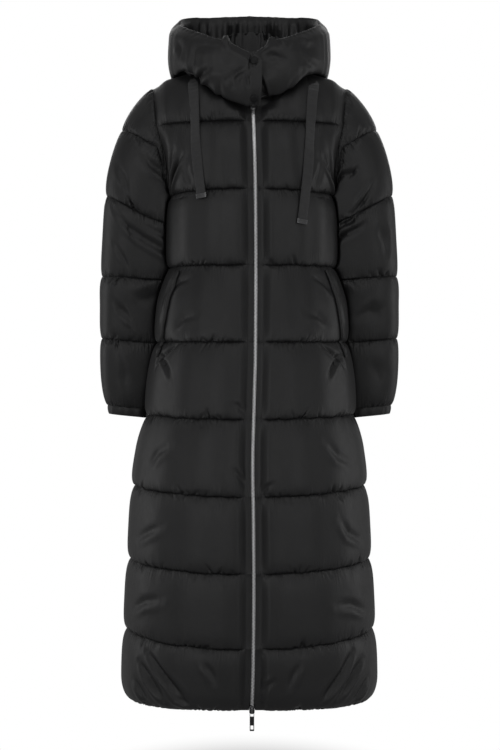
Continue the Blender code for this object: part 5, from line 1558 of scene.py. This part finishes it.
def fold_hood(sections, seed, creases, ends=(0.0, 0.0)):
    """A piece of the hood: its outer rows with the turned rim, and its inner rows, creased and gathered."""
    outer, inner = hood_grids(sections)
    for grid in (outer, inner):
        grid[:, 0, 0] += ends[0]
        grid[:, -1, 0] += ends[1]
    count = HOOD_ROWS + RIM_ROWS
    u, v = across_from_edge(outer), up_from_foot(outer)
    edges = soft_step(0, 0.006, u) * soft_step(0, 0.006, u[:, -1:] - u)
    normal = normals_of(outer)
    normal *= np.sign(np.sum(normal * outer * (1, 1, 0), axis=-1).sum())
    lift = gathers(u, v[-1:] - v, seed, spacing=0.011, reach=(0.008, 0.024), depth=(0.0006, 0.0020))
    lift *= 1 - 0.8 * soft_step(0.0, 0.06, outer[..., 1])
    lift += 0.5 * gathers(u, np.maximum(0, v - 0.012), seed + 1, spacing=0.014, reach=(0.010, 0.026))
    lift += press(outer, creases, outer[..., 1] < -0.02)
    lift += press(outer, CREASES_HOOD_BACK, outer[..., 1] > 0.02)
    lift += 0.0010 * wander(u, seed + 2, 1.0) * np.sin(v / v[-1:] * math.pi)
    raised = soft_step(0.006, 0.020, v)
    outer = outer + normal * (lift * edges * raised)[..., None]
    even = np.linspace(0, HOOD_ROWS - 1, count)
    low = np.minimum(even.astype(int), HOOD_ROWS - 2)
    part = (even - low)[:, None, None]
    inner = inner[low] * (1 - part) + inner[low + 1] * part
    into = normals_of(inner)
    into *= -np.sign(np.sum(into * inner * (1, 1, 0), axis=-1).sum())
    height = np.linspace(0, 1, count)[:, None]
    shape = soft_step(0.10, 0.45, height) * (1 - 0.92 * soft_step(0.66, 0.98, height))
    hollow = np.zeros(inner.shape[:2])
    for x, depth, width in GATHERS_INSIDE:
        trough = np.exp(-(((inner[..., 0] - x) / width) ** 2))
        ridge = np.exp(-(((np.abs(inner[..., 0] - x) - 1.8 * width) / width) ** 2))
        hollow += depth * (0.55 * ridge - trough) * soft_step(0.045, 0.075, inner[..., 1])
    inner_u = across_from_edge(inner)
    inner_edges = soft_step(0, 0.006, inner_u) * soft_step(0, 0.006, inner_u[:, -1:] - inner_u)
    inner = inner + into * (hollow * shape * inner_edges)[..., None]
    rim_rows = turned_rim(outer, inner)[:-1]
    last = outer[-1:] + (inner[-1:] - outer[-1:]) * 0.97
    return np.concatenate([outer, rim_rows, last]), inner


def blend_sections(first, second, parts):
    """Sections in even steps between two sections, without the two themselves."""
    return [
        [a + (b - a) * k / parts for a, b in zip(first, second)]
        for k in range(1, parts)
    ]


def side_sections(neck, side, lap_tuck):
    """The sections of one side of the hood, from the throat to where the centre piece starts."""
    found = []
    for seam in list(zip(*neck))[: 1 - CENTRE_POINTS]:
        azimuth = max(0.0, azimuth_of(seam[0], side)) if side < 0 else azimuth_of(seam[0], side)
        tuck = lap_tuck * (1 - soft_step(12, 32, azimuth))
        found.append(hood_section(azimuth, side, seam, tuck))
    return found


def azimuth_of(point, side):
    return math.degrees(math.atan2(side * point[0], -point[1]))


left_sections = side_sections(neck_left, 1, LAP_BELOW)
lap = [
    hood_section(0, -1, turn=-math.degrees(math.asin(x / HOOD["belly_r"][0])))
    for x in np.linspace(LAP_EDGE, LAP_NEAR, LAP_PARTS)
]
sewn = side_sections(neck_right, -1, 0.0)
for grid in sewn[0]:
    grid[0] += CORNER_CLEAR * neck_right[2][0]
right_sections = lap + blend_sections(lap[-1], sewn[0], 4) + sewn
centre_sections = [
    hood_section(azimuth_of(seam[0], 1), 1, seam) for seam in list(zip(*neck_left))[-CENTRE_POINTS:]
] + [hood_section(azimuth_of(seam[0], -1), -1, seam) for seam in list(zip(*neck_right))[-2 : -CENTRE_POINTS - 1 : -1]]
half_gap = 0.75 * SEAM_GAP
hood_left = fold_hood(left_sections, 700, CREASES_HOOD_LEFT, (0, half_gap))
hood_right = fold_hood(right_sections, 710, CREASES_HOOD_RIGHT, (0, -half_gap))
hood_centre = fold_hood(centre_sections, 720, (), (-half_gap, half_gap))
HOOD_LEFT = dress(wall("shell_hood_left", *hood_left, every=1), NYLON, "shell", "hood_left")
HOOD_RIGHT = dress(wall("shell_hood_right", *hood_right, every=1), NYLON, "shell", "hood_right")
HOOD_CENTRE = dress(wall("shell_hood_centre", *hood_centre, every=1), NYLON, "shell", "hood_centre")
print("hood:", sum(len(o.data.polygons) for o in (HOOD_LEFT, HOOD_RIGHT, HOOD_CENTRE)), "faces")

# %% [markdown]
# ## The zip
# A metal zip is two rows of teeth clamped on woven tapes. Closed, the rows lie between each other, one
# tooth from the left, one from the right. Nearly nine hundred teeth of one shape stand on the zip's line,
# so the script makes one tooth as a few points, sets copies of it along the line and joins them into one
# mesh. Each tooth has chamfered edges, because it is their glints that make a zip sparkle.

# %% The line of the zip
CHAIN_HALF = 0.0030
CHAIN_TOP_Z = -0.0640
CHAIN_FOOT_Z = -1.2019
TOOTH_PITCH = 0.0013
TOOTH_LONG = 0.00112
TOOTH_PAST_MIDDLE = 0.0007
TOOTH_FACE = 0.0005
TOOTH_BACK = -0.0016
TOOTH_CHAMFER = 0.00028


def zip_line():
    """The middle of the slot between the fronts at each row, and the way out of it."""
    middle = (front_left[0][:, 0] + front_right[0][:, 0]) / 2
    return middle, unit(front_left[3][:, 0] + front_right[3][:, 0])


ZIP_MIDDLE, ZIP_OUT = zip_line()


def on_zip(z):
    """Points of the zip's line, and its frame there: across, up the zip, and out."""
    place = np.interp(z, ZIP_MIDDLE[:, 2], np.arange(len(ZIP_MIDDLE)))
    low = np.minimum(place.astype(int), len(ZIP_MIDDLE) - 2)
    part = (place - low)[:, None]
    point = ZIP_MIDDLE[low] * (1 - part) + ZIP_MIDDLE[low + 1] * part
    out = unit(ZIP_OUT[low] * (1 - part) + ZIP_OUT[low + 1] * part)
    up = unit(ZIP_MIDDLE[low + 1] - ZIP_MIDDLE[low])
    across = unit(np.cross(up, out))
    across *= np.sign(across[:, :1])
    return point, across, up, unit(np.cross(across, up)) * -1


# %% Teeth and tapes
def copies(name, template, faces, origins, axes):
    """One mesh from a template of points, set at many origins with their own three axes."""
    placed = sum(template[None, :, k, None] * axes[k][:, None, :] for k in range(3)) + origins[:, None, :]
    count = len(template)
    index = [tuple(v + i * count for v in face) for i in range(len(origins)) for face in faces]
    mesh = bpy.data.meshes.new(name)
    mesh.from_pydata(placed.reshape(-1, 3).tolist(), [], index)
    mesh.validate()
    made = bpy.data.objects.new(name, mesh)
    bpy.context.scene.collection.objects.link(made)
    return made


def tooth():
    """A tooth of the wearer's left row: its points and faces, with a chamfered face."""
    half = TOOTH_LONG / 2
    points = []
    for inset, level in ((0, TOOTH_BACK), (0, TOOTH_FACE - TOOTH_CHAMFER), (TOOTH_CHAMFER, TOOTH_FACE)):
        left, right = -TOOTH_PAST_MIDDLE + inset, CHAIN_HALF - inset
        for x, z in ((left, -half + inset), (right, -half + inset), (right, half - inset), (left, half - inset)):
            points.append((x, z, level))
    faces = [(3, 2, 1, 0), (8, 9, 10, 11)]
    for ring in (0, 4):
        for k in range(4):
            m = (k + 1) % 4
            faces.append((ring + k, ring + m, ring + m + 4, ring + k + 4))
    return np.array(points), faces


levels = np.arange(CHAIN_FOOT_Z + TOOTH_PITCH / 2, CHAIN_TOP_Z, TOOTH_PITCH)
points, across, up, out = on_zip(levels)
sides = np.where(np.arange(len(levels)) % 2 == 0, 1.0, -1.0)[:, None]
TEETH = copies("zip_teeth", *tooth(), points, (across * sides, up, out))
work = bmesh.new()
work.from_mesh(TEETH.data)
bmesh.ops.recalc_face_normals(work, faces=work.faces)
work.to_mesh(TEETH.data)
work.free()
dress(TEETH, SILVER, "zip_teeth", "zip_chain")
print("the zip has", len(levels), "teeth")

TAPE_BEHIND = 0.0009
ZIP_TAPE_THICK = 0.0008
TAPE_SHARE = 1.13
TAPE_TOP_Z = -0.0650
TAPE_FOOT_Z = -1.2095


def zip_tape(word, panel, side):
    """The woven tape behind one front, from the zip's middle to the end of the plain strip."""
    inner, normal = panel[1], panel[3]
    near, far, out = inner[:, 0], inner[:, COLUMN_PARTS_FRONT[0]], normal[:, 0]
    z = near[:, 2]
    sections = []
    for height in [TAPE_FOOT_Z, *[v for v in z if TAPE_FOOT_Z < v < TAPE_TOP_Z], TAPE_TOP_Z]:
        place = np.interp(height, z, np.arange(len(z)))
        start, stop, way = at_index(near, place), at_index(far, place), unit(at_index(out, place))
        stop = start + TAPE_SHARE * (stop - start)
        start = np.array([read(ZIP, "z", height, "x")[0] + side * SEAM_GAP, start[1], start[2]])
        face, back = way * TAPE_BEHIND, way * (TAPE_BEHIND + ZIP_TAPE_THICK)
        bead = start + side * np.array([0.0012, 0, 0])
        sections.append([start - face, bead - face * 0.6, stop - face, stop - back, start - back])
    tape = strip(f"woven_tape_{word}", sections)
    lay_out(tape, 5, np.linspace(0, TAPE_TOP_Z - TAPE_FOOT_Z, len(sections)))
    return dress(tape, TAPE, "zip_tape", f"zip_tape_{word}")


zip_tape("left", front_left, 1)
zip_tape("right", front_right, -1)

# %% [markdown]
# The lower slider sits at the hem. Its body has two plates with a neck between them, wide below, where the
# rows of teeth part. An arch over its face holds the pull tab, which hangs by a crossbar and can turn
# there. The tab is a flat stamped piece with two windows. It is the only part of the coat that turns.

# %% Sliders and pull tab
SLIDER = table(
    "z half_width",
    (
        (-1.2176, 0.0034),
        (-1.2150, 0.0050),
        (-1.2060, 0.0050),
        (-1.2022, 0.0036),
    ),
)
SLIDER_PROUD = 0.003
SLIDER_DEEP = 0.004
SLIDER_CHAMFER = 0.0005
ARCH = table(
    "before z",
    (
        (-0.0004, -1.2042),
        (0.0012, -1.2043),
        (0.0022, -1.2046),
        (0.0030, -1.2051),
        (0.0034, -1.2062),
        (0.0034, -1.2110),
        (0.0034, -1.2162),
        (0.0031, -1.2170),
        (0.0026, -1.2174),
        (-0.0004, -1.2174),
        (-0.0004, -1.2161),
        (0.0020, -1.2161),
        (0.0023, -1.2156),
        (0.0023, -1.2064),
        (0.0019, -1.2057),
        (-0.0004, -1.2056),
    ),
)
ARCH_HALF = 0.0013
PIVOT_Z = -1.2150
PIVOT_BEFORE = 0.0011
TAB_HALF = 0.00415
TAB_HALF_THICK = 0.0006
TAB_BAR = 0.0006
TAB_END = 0.0339
TAB_WINDOWS = table("top bottom half_width", ((0.0006, 0.0071, 0.0031), (0.0237, 0.0311, 0.0027)))
TAB_BEVEL = 0.0002


def slider_body():
    """The slider's two plates and neck as one closed outline, drawn at many heights."""
    face_y = at_height(ZIP_MIDDLE, PIVOT_Z)[1] - SLIDER_PROUD
    middle = read(ZIP, "z", PIVOT_Z, "x")[0]
    deep = SLIDER_PROUD + SLIDER_DEEP
    sections = []
    for t in np.linspace(0, 1, 25):
        z = SLIDER["z"][0] + (SLIDER["z"][-1] - SLIDER["z"][0]) * t
        half = read(SLIDER, "z", z, "half_width")[0]
        at_end = SLIDER_CHAMFER * (1 - min(1, math.sin(math.pi * t) * 6))
        cut = SLIDER_CHAMFER
        neck = 0.45 * half
        outline = [
            (-half + cut + at_end, at_end),
            (half - cut - at_end, at_end),
            (half - at_end, cut + at_end),
            (half - at_end, 0.0014),
            (neck, 0.0018),
            (neck, deep - 0.0018),
            (half - at_end, deep - 0.0014),
            (half - at_end, deep - cut),
            (half - cut - at_end, deep - at_end),
            (-half + cut + at_end, deep - at_end),
            (-half + at_end, deep - cut),
            (-half + at_end, deep - 0.0014),
            (-neck, deep - 0.0018),
            (-neck, 0.0018),
            (-half + at_end, 0.0014),
            (-half + at_end, cut + at_end),
        ]
        sections.append([(middle + x, face_y + y, z) for x, y in outline])
    return strip("zip_slider", sections), middle, face_y


def slider_arch(middle, face_y):
    """The arch over the slider's face, with rounded long edges."""
    outline = np.stack([ARCH["before"], ARCH["z"]], axis=1)
    centre = outline.mean(axis=0)
    sections = []
    for share in (-1.0, -0.86, -0.5, 0.5, 0.86, 1.0):
        inset = 0.00022 if abs(share) == 1 else 0.00006 if abs(share) == 0.86 else 0.0
        drawn = outline - unit(outline - centre) * inset
        sections.append([(middle + share * ARCH_HALF, face_y - before, z) for before, z in drawn])
    return strip("slider_arch", sections)


def rounded_box(half_width, top, bottom, radius):
    """A closed outline of a box with round corners, from its top and bottom distances below the origin."""
    outline = []
    for turn, x, z in (
        (0, half_width - radius, radius - bottom),
        (90, half_width - radius, -top - radius),
        (180, radius - half_width, -top - radius),
        (270, radius - half_width, radius - bottom),
    ):
        for step in np.linspace(0, 90, 7):
            angle = math.radians(turn + step - 90)
            outline.append((x + radius * math.cos(angle), z + radius * math.sin(angle)))
    return outline


def pull_tab(pivot):
    """The flat tab with its two windows and bevelled edges, as a mesh."""
    outline = bpy.data.curves.new("tab", "CURVE")
    outline.dimensions = "2D"
    outline.fill_mode = "BOTH"
    outline.extrude = TAB_HALF_THICK - TAB_BEVEL
    outline.bevel_depth = TAB_BEVEL
    outline.bevel_resolution = 2
    outline.offset = -TAB_BEVEL
    loops = [rounded_box(TAB_HALF, -TAB_BAR, TAB_END, 0.0012)]
    for top, bottom, half_width in zip(*TAB_WINDOWS.values()):
        loops.append(rounded_box(half_width, top, bottom, 0.0006))
    for loop in loops:
        spline = outline.splines.new("POLY")
        spline.points.add(len(loop) - 1)
        for point, (x, z) in zip(spline.points, loop):
            point.co = (x, z, 0, 1)
        spline.use_cyclic_u = True
    drawn = bpy.data.objects.new("tab", outline)
    bpy.context.scene.collection.objects.link(drawn)
    drawn.location = pivot
    drawn.rotation_euler = (math.pi / 2, 0, 0)
    bpy.context.view_layer.update()
    mesh = bpy.data.meshes.new_from_object(drawn.evaluated_get(bpy.context.evaluated_depsgraph_get()))
    mesh.transform(drawn.matrix_world)
    bpy.data.objects.remove(drawn)
    work = bmesh.new()
    work.from_mesh(mesh)
    bmesh.ops.remove_doubles(work, verts=work.verts, dist=0.00001)
    work.to_mesh(mesh)
    work.free()
    tab = bpy.data.objects.new("zip_pull", mesh)
    bpy.context.scene.collection.objects.link(tab)
    return tab


body, middle, face_y = slider_body()
arch = slider_arch(middle, face_y)
dress(body, GUNMETAL, "slider", "slider_lower")
dress(arch, STEEL, "slider")
dress(pull_tab((middle, face_y - PIVOT_BEFORE, PIVOT_Z)), GUNMETAL, "slider", "pull_tab", body="tab")

# The upper slider lies under the flap, where only its foot shows, so its solid only gets the bright metal.
UPPER_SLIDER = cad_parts["slider_upper"]
UPPER_SLIDER.data.materials.clear()
UPPER_SLIDER.data.materials.append(SILVER)

# %% [markdown]
# ## Pockets and snaps
# A slanting pocket mouth is two narrow padded lips that lie against each other, one turned forward and
# one back, with a dark groove between them. Both ends are closed by a bar of close stitches. The snap
# caps are covered with the same nylon, drawn over a shallow dome, and they press the flap in round them.

# %% The pocket mouths
POCKET = table(
    "z share width",
    (
        (-0.388, 0.655, 0.036),
        (-0.430, 0.668, 0.034),
        (-0.475, 0.685, 0.028),
        (-0.515, 0.700, 0.022),
        (-0.556, 0.712, 0.013),
    ),
)
POCKET_LIP = 0.0045
POCKET_EDGE = 0.0024
POCKET_REST = 0.0014
POCKET_SECTIONS = 90
# The lips' cross-section: across, as a share of the width, and how high, as a share of the lip.
POCKET_PROFILE = (
    (-0.50, 0.00),
    (-0.48, 0.42),
    (-0.44, 0.82),
    (-0.38, 1.00),
    (-0.31, 0.92),
    (-0.25, 0.62),
    (-0.21, 0.22),
    (-0.18, 0.02),
    (-0.14, 0.18),
    (-0.06, 0.40),
    (0.06, 0.46),
    (0.18, 0.42),
    (0.30, 0.44),
    (0.40, 0.36),
    (0.47, 0.18),
    (0.50, 0.00),
)


def down_front(panel, share):
    """A front's outer points and normals, row by row, at a share of the way from the zip to the side seam."""
    rows = slice(3 * ROWS_A_CHANNEL, UNDERARM_ROW)
    outer, normal = panel[0][rows], panel[3][rows]
    distance = across_from_edge(outer)
    points, ways = [], []
    for row, row_normal, far in zip(outer, normal, distance):
        place = np.interp(share * far[-1], far, np.arange(len(row)))
        points.append(at_index(row, place))
        ways.append(at_index(row_normal, place))
    return np.array(points), np.array(ways)


def pocket(word, panel, seed):
    """The pocket mouth: two lips with a groove between them, lying on the front."""
    low, high = POCKET["z"][-1], POCKET["z"][0]
    length = along(panel[0][UNDERARM_ROW // 2])[-1]
    rng = np.random.default_rng(seed)
    shares = np.linspace(0.60, 0.76, 33)
    lines = [down_front(panel, share) for share in shares]
    pucker = rng.uniform(0.82, 1.10, POCKET_SECTIONS)
    pucker = np.convolve(np.pad(pucker, 2, "edge"), (0.15, 0.22, 0.26, 0.22, 0.15), "valid")
    sections = []
    for z, full in zip(np.linspace(low, high, POCKET_SECTIONS), pucker):
        share, width = (np.interp(-z, -POCKET["z"], POCKET[name]) for name in ("share", "width"))
        lip = POCKET_LIP * (0.55 + 0.45 * soft_step(0, 0.02, min(z - low, high - z))) * full
        waver = 0.035 * math.sin(z * 310 + seed) + 0.025 * math.sin(z * 730)
        pleat = [0.22 * math.sin(7.0 * k + z * 95) * (k in (9, 10, 11, 12, 13)) for k in range(16)]
        lifts = [
            (across + waver * (0.5 - abs(across)), POCKET_EDGE + (level + fold) * lip)
            for (across, level), fold in zip(POCKET_PROFILE, pleat)
        ]
        lifts += [(across, POCKET_REST) for across in (0.50, 0.17, -0.17, -0.50)]
        crossing = []
        for points, ways in lines:
            place = np.interp(z, points[:, 2], np.arange(len(points)))
            crossing.append(np.concatenate([at_index(points, place), unit(at_index(ways, place))]))
        crossing = np.array(crossing)
        section = []
        for across, proud in lifts:
            at = share + across * width / length
            found = np.array([np.interp(at, shares, crossing[:, k]) for k in range(6)])
            section.append(found[:3] + unit(found[3:]) * proud)
        sections.append(section)
    lips = strip(f"pocket_lips_{word}", sections)
    lay_out(lips, len(sections[0]), np.linspace(0, high - low, POCKET_SECTIONS))
    dress(lips, NYLON, "shell", f"pocket_{word}")
    return np.array(sections)


pocket_left = pocket("left", front_left, 31)
pocket_right = pocket("right", front_right, 32)

# %% The snap caps
SNAP_RADIUS = 0.00775
SNAP_THICK = 0.003
CAP_PROFILE = (
    # Radius and height as shares of the cap's own: from the middle of its top to the middle of its back.
    (0.00, 1.00),
    (0.30, 0.99),
    (0.55, 0.95),
    (0.76, 0.86),
    (0.90, 0.70),
    (0.98, 0.46),
    (1.00, 0.28),
    (0.97, 0.12),
    (0.88, 0.00),
    (0.00, 0.00),
)


def snap_cap(name, word):
    """A dome covered with cloth, standing where the solid cap stands."""
    low, high = (np.array(corner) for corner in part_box(name))
    way = flap_way((low + high) / 2)
    centre = (low + high) / 2 - way * SNAP_THICK / 2
    turns = 48
    points, faces = [], []
    for radius, height in CAP_PROFILE[1:-1]:
        for k in range(turns):
            angle = 2 * math.pi * k / turns
            pleat = 1 + 0.012 * math.sin(11 * angle + len(points)) * (radius > 0.9)
            across = radius * SNAP_RADIUS * pleat
            points.append((across * math.cos(angle), across * math.sin(angle), height * SNAP_THICK))
    rings = len(CAP_PROFILE) - 2
    for i in range(rings - 1):
        for k in range(turns):
            m = (k + 1) % turns
            faces.append((i * turns + k, (i + 1) * turns + k, (i + 1) * turns + m, i * turns + m))
    points += [(0, 0, SNAP_THICK), (0, 0, 0)]
    top, bottom = rings * turns, rings * turns + 1
    for k in range(turns):
        m = (k + 1) % turns
        faces.append((top, k, m))
        faces.append((bottom, (rings - 1) * turns + m, (rings - 1) * turns + k))
    cap = solid(f"cap_{word}", points, faces)
    turn = Vector(way).to_track_quat("Z", "Y").to_matrix().to_4x4()
    cap.data.transform(Matrix.Translation(Vector(centre)) @ turn)
    layer = cap.data.uv_layers.new(name="cut")
    for loop in cap.data.loops:
        place = cap.data.vertices[loop.vertex_index].co
        layer.data[loop.index].uv = (place.x, place.z)
    return dress(cap, CAP_NYLON, "snap_cap", name)


def flap_way(point):
    """The way out of the upper flap beside a point."""
    grid = hood_right[0][: HOOD_ROWS - 4, : LAP_PARTS + 20]
    far = np.linalg.norm(grid - point, axis=2)
    i, j = np.unravel_index(int(np.argmin(far)), far.shape)
    wide, high = 5, 4
    across = grid[i, min(j + wide, grid.shape[1] - 1)] - grid[i, max(j - wide, 0)]
    up = grid[min(i + high, len(grid) - 1), j] - grid[max(i - high, 0), j]
    way = unit(np.cross(across, up))
    return way if way[1] < 0 else -way


for name in SNAPS:
    snap_cap(name, name.split("_")[1])

# %% [markdown]
# ## Stitching
# Every quilt line is a row of machine stitches: short lengths of thread that lie in the bottom of the
# valley and dive into the cloth at both ends. One stitch is a tapered prism. It is copied along each line,
# and all the stitches of a panel are joined in one mesh.

# %% Rows of stitches
STITCH_PITCH = 0.0034
STITCH_LONG = 0.0027
THREAD = 0.00026


def thread_material():
    made, tree, shader = material("black thread")
    uneven = use(tree, UNEVEN, Scale=160.0, Fine=900.0)
    colour = mixed(tree, uneven.outputs["Small"], (0.010, 0.010, 0.011), (0.030, 0.030, 0.032))
    tree.links.new(colour, shader.inputs["Base Color"])
    tree.links.new(ranged(tree, uneven.outputs["Broad"], 0.45, 0.65), shader.inputs["Roughness"])
    return made


THREAD_BLACK = thread_material()


def one_stitch():
    """A stitch along its first axis: five sides, thickest in the middle, with its ends in the cloth."""
    half = STITCH_LONG / 2
    points = [(-half, 0, -THREAD)]
    for x in (-0.45 * half, 0.45 * half):
        for k in range(5):
            angle = 2 * math.pi * k / 5
            points.append((x, THREAD * math.cos(angle), THREAD * (0.35 + math.sin(angle))))
    points.append((half, 0, -THREAD))
    faces = []
    for k in range(5):
        m = (k + 1) % 5
        faces += [(0, 1 + m, 1 + k), (1 + k, 1 + m, 6 + m, 6 + k), (11, 6 + k, 6 + m)]
    return np.array(points), faces


def sew(name, *lines):
    """One mesh of stitches along lines, each given as its points and the way out of the cloth there."""
    origins, axes = [], ([], [], [])
    for points, ways in lines:
        length = along(points)
        stops = np.arange(STITCH_PITCH, length[-1] - STITCH_PITCH / 2, STITCH_PITCH)
        place = np.interp(stops, length, np.arange(len(points)))
        centre = pick(points, stops)
        ahead = unit(pick(points, stops + STITCH_LONG / 3) - pick(points, stops - STITCH_LONG / 3))
        low = np.minimum(place.astype(int), len(points) - 2)
        out = ways[low]
        out = unit(out - ahead * np.sum(out * ahead, axis=1, keepdims=True))
        origins.append(centre + out * THREAD * 0.5)
        for axis, values in zip(axes, (ahead, np.cross(out, ahead), out)):
            axis.append(values)
    rows = copies(name, *one_stitch(), np.concatenate(origins), [np.concatenate(a) for a in axes])
    rows.data.shade_smooth()
    return dress(rows, THREAD_BLACK, "shell")


def quilt_lines(half):
    """The quilt lines of half a panel."""
    outer, _, _, normal = half
    return [(outer[k * ROWS_A_CHANNEL], normal[k * ROWS_A_CHANNEL]) for k in range(1, YOKE_LINE + 1)]


def zip_lines(half):
    """The rows of stitches up a front: close beside the zip, and where its plain strip ends."""
    outer, _, _, normal = half
    return [(outer[:, column], normal[:, column]) for column in (1, COLUMN_PARTS_FRONT[0])]


def tube_lines(tube):
    outer, _, _, normal = tube
    found = []
    for k in range(1, 6):
        row = k * ROWS_A_SLEEVE_CHANNEL
        found.append((np.vstack([outer[row], outer[row][:1]]), np.vstack([normal[row], normal[row][:1]])))
    return found


stitches = (
    sew("stitches_front_left", *quilt_lines(front_left), *zip_lines(front_left)),
    sew("stitches_front_right", *quilt_lines(front_right), *zip_lines(front_right)),
    sew("stitches_back", *quilt_lines(back_left), *quilt_lines(back_right)),
    sew("stitches_sleeve_left", *tube_lines(sleeve_left)),
    sew("stitches_sleeve_right", *tube_lines(sleeve_right)),
)
print("stitching:", sum(len(o.data.vertices) for o in stitches) // 12, "stitches")


# %% Bar tacks at the pockets
def bar_tack(name, sections, at_top):
    """Close parallel stitches across one end of a pocket's mouth."""
    section = sections[-4] if at_top else sections[3]
    across = unit(section[15] - section[0])
    out = unit(section[4] - section[18])
    up = unit(np.cross(across, out))
    up *= np.sign(up[2])
    lines = []
    for k in range(7):
        start = section[0] - up * 0.0008 * (k - 3) + out * 0.0016
        stop = section[15] - up * 0.0008 * (k - 3) + out * 0.0016
        line = start + (stop - start) * np.linspace(0, 1, 12)[:, None]
        lines.append((line, np.tile(out, (12, 1))))
    return sew(name, *lines)


for word, sections in (("left", pocket_left), ("right", pocket_right)):
    bar_tack(f"bar_tack_low_{word}", sections, False)
    bar_tack(f"bar_tack_high_{word}", sections, True)

# %% [markdown]
# ## What the cloth was cut to
# Each panel is a sheet of quilted cloth that hangs from the shoulders. Its flat size is the widest row and
# the longest column of its sewn surface, and its flat area is that surface's own, so they follow from the
# cutter's sizes above.

def declare(piece, *bases, wrap=False):
    """Prints a piece's flat width, length and area, worked out from its sewn surface."""
    width = length = area = 0.0
    for base in bases:
        closed = np.concatenate([base, base[:, :1]], axis=1) if wrap else base
        across, up = np.diff(closed, axis=1)[:-1], np.diff(closed, axis=0)[:, :-1]
        width += float(across_from_edge(closed)[:, -1].max())
        length = max(length, float(up_from_foot(closed)[-1].max()))
        area += float(np.linalg.norm(np.cross(across, up), axis=-1).sum())
    print(f"{piece.name}: {width * 1000:.0f} by {length * 1000:.0f} mm, {area:.3f} square metres")


declare(FRONT_LEFT, front_left[2])
declare(FRONT_RIGHT, front_right[2])
declare(BACK, back_left[2], back_right[2])
declare(SLEEVE_LEFT, sleeve_left[2], wrap=True)
declare(SLEEVE_RIGHT, sleeve_right[2], wrap=True)
declare(CUFF_LEFT, cuff_left, wrap=True)
declare(CUFF_RIGHT, cuff_right, wrap=True)

# %% [markdown]
# ## Studio
# The coat hangs as if worn, over a pale floor that fades into a white surround. Black cloth returns so
# little light that its form shows only in its sheen, so the softboxes are large: one on each side draws
# the outlines, two before the coat and one above fill its face, and one behind lights the hood's rim.

# %% Floor, surround and lights
FLOOR_Z = -1.42
FLOOR_RADIUS = 9.0


def white_floor():
    """Pale near the coat and as white as the surround further out."""
    made, tree, shader = material("floor")
    shader.inputs["Base Color"].default_value = (0.86, 0.86, 0.86, 1)
    shader.inputs["Roughness"].default_value = 0.8
    place = tree.nodes.new("ShaderNodeTexCoord")
    far = tree.nodes.new("ShaderNodeVectorMath")
    far.operation = "LENGTH"
    tree.links.new(place.outputs["Object"], far.inputs[0])
    fade = tree.nodes.new("ShaderNodeMapRange")
    fade.interpolation_type = "SMOOTHSTEP"
    fade.inputs["From Min"].default_value = 0.10
    fade.inputs["From Max"].default_value = 0.42
    tree.links.new(far.outputs["Value"], fade.inputs["Value"])
    glow = tree.nodes.new("ShaderNodeEmission")
    tree.links.new(white_for_the_camera(tree), glow.inputs["Strength"])
    both = tree.nodes.new("ShaderNodeMixShader")
    tree.links.new(fade.outputs["Result"], both.inputs["Fac"])
    tree.links.new(shader.outputs["BSDF"], both.inputs[1])
    tree.links.new(glow.outputs["Emission"], both.inputs[2])
    tree.links.new(both.outputs["Shader"], tree.nodes["Material Output"].inputs["Surface"])
    return made


def white_for_the_camera(tree, seen=1.0, given=0.24):
    """A strength that is white where it is looked at, and gives less light to the coat."""
    rays = tree.nodes.new("ShaderNodeLightPath")
    strength = tree.nodes.new("ShaderNodeMapRange")
    strength.inputs["To Min"].default_value = given
    strength.inputs["To Max"].default_value = seen
    tree.links.new(rays.outputs["Is Camera Ray"], strength.inputs["Value"])
    return strength.outputs["Result"]


def softbox(name, at, toward, size, power):
    light = bpy.data.lights.new(name, "AREA")
    light.shape = "RECTANGLE"
    light.size, light.size_y = size
    light.energy = power
    made = bpy.data.objects.new(name, light)
    made.location = at
    made.rotation_euler = (Vector(toward) - Vector(at)).to_track_quat("-Z", "Y").to_euler()
    bpy.context.scene.collection.objects.link(made)
    return made


bpy.ops.mesh.primitive_circle_add(vertices=96, radius=FLOOR_RADIUS, fill_type="NGON", location=(0, 0, FLOOR_Z))
floor = bpy.context.object
floor.name = "floor"
floor.data.materials.append(white_floor())

world = bpy.data.worlds.new("surround")
world.use_nodes = True
bpy.context.scene.world = world
surround = world.node_tree.nodes["Background"]
surround.inputs["Color"].default_value = (1, 1, 1, 1)
world.node_tree.links.new(white_for_the_camera(world.node_tree), surround.inputs["Strength"])

CHEST = (0, 0, -0.55)
boxes = (
    softbox("softbox left", (-2.5, 0.1, -0.85), CHEST, (1.5, 2.6), 14),
    softbox("softbox right", (2.5, 0.1, -0.85), CHEST, (1.5, 2.6), 14),
    softbox("softbox front left", (-1.7, -3.2, -0.7), CHEST, (1.8, 3.4), 25),
    softbox("softbox front right", (1.7, -3.2, -0.7), CHEST, (1.8, 3.4), 20),
    softbox("softbox above", (0, -2.6, 2.2), CHEST, (3.4, 1.6), 16),
    softbox("softbox behind", (0, 2.6, 1.0), CHEST, (3.0, 1.6), 22),
)
bpy.context.scene.view_settings.view_transform = "Standard"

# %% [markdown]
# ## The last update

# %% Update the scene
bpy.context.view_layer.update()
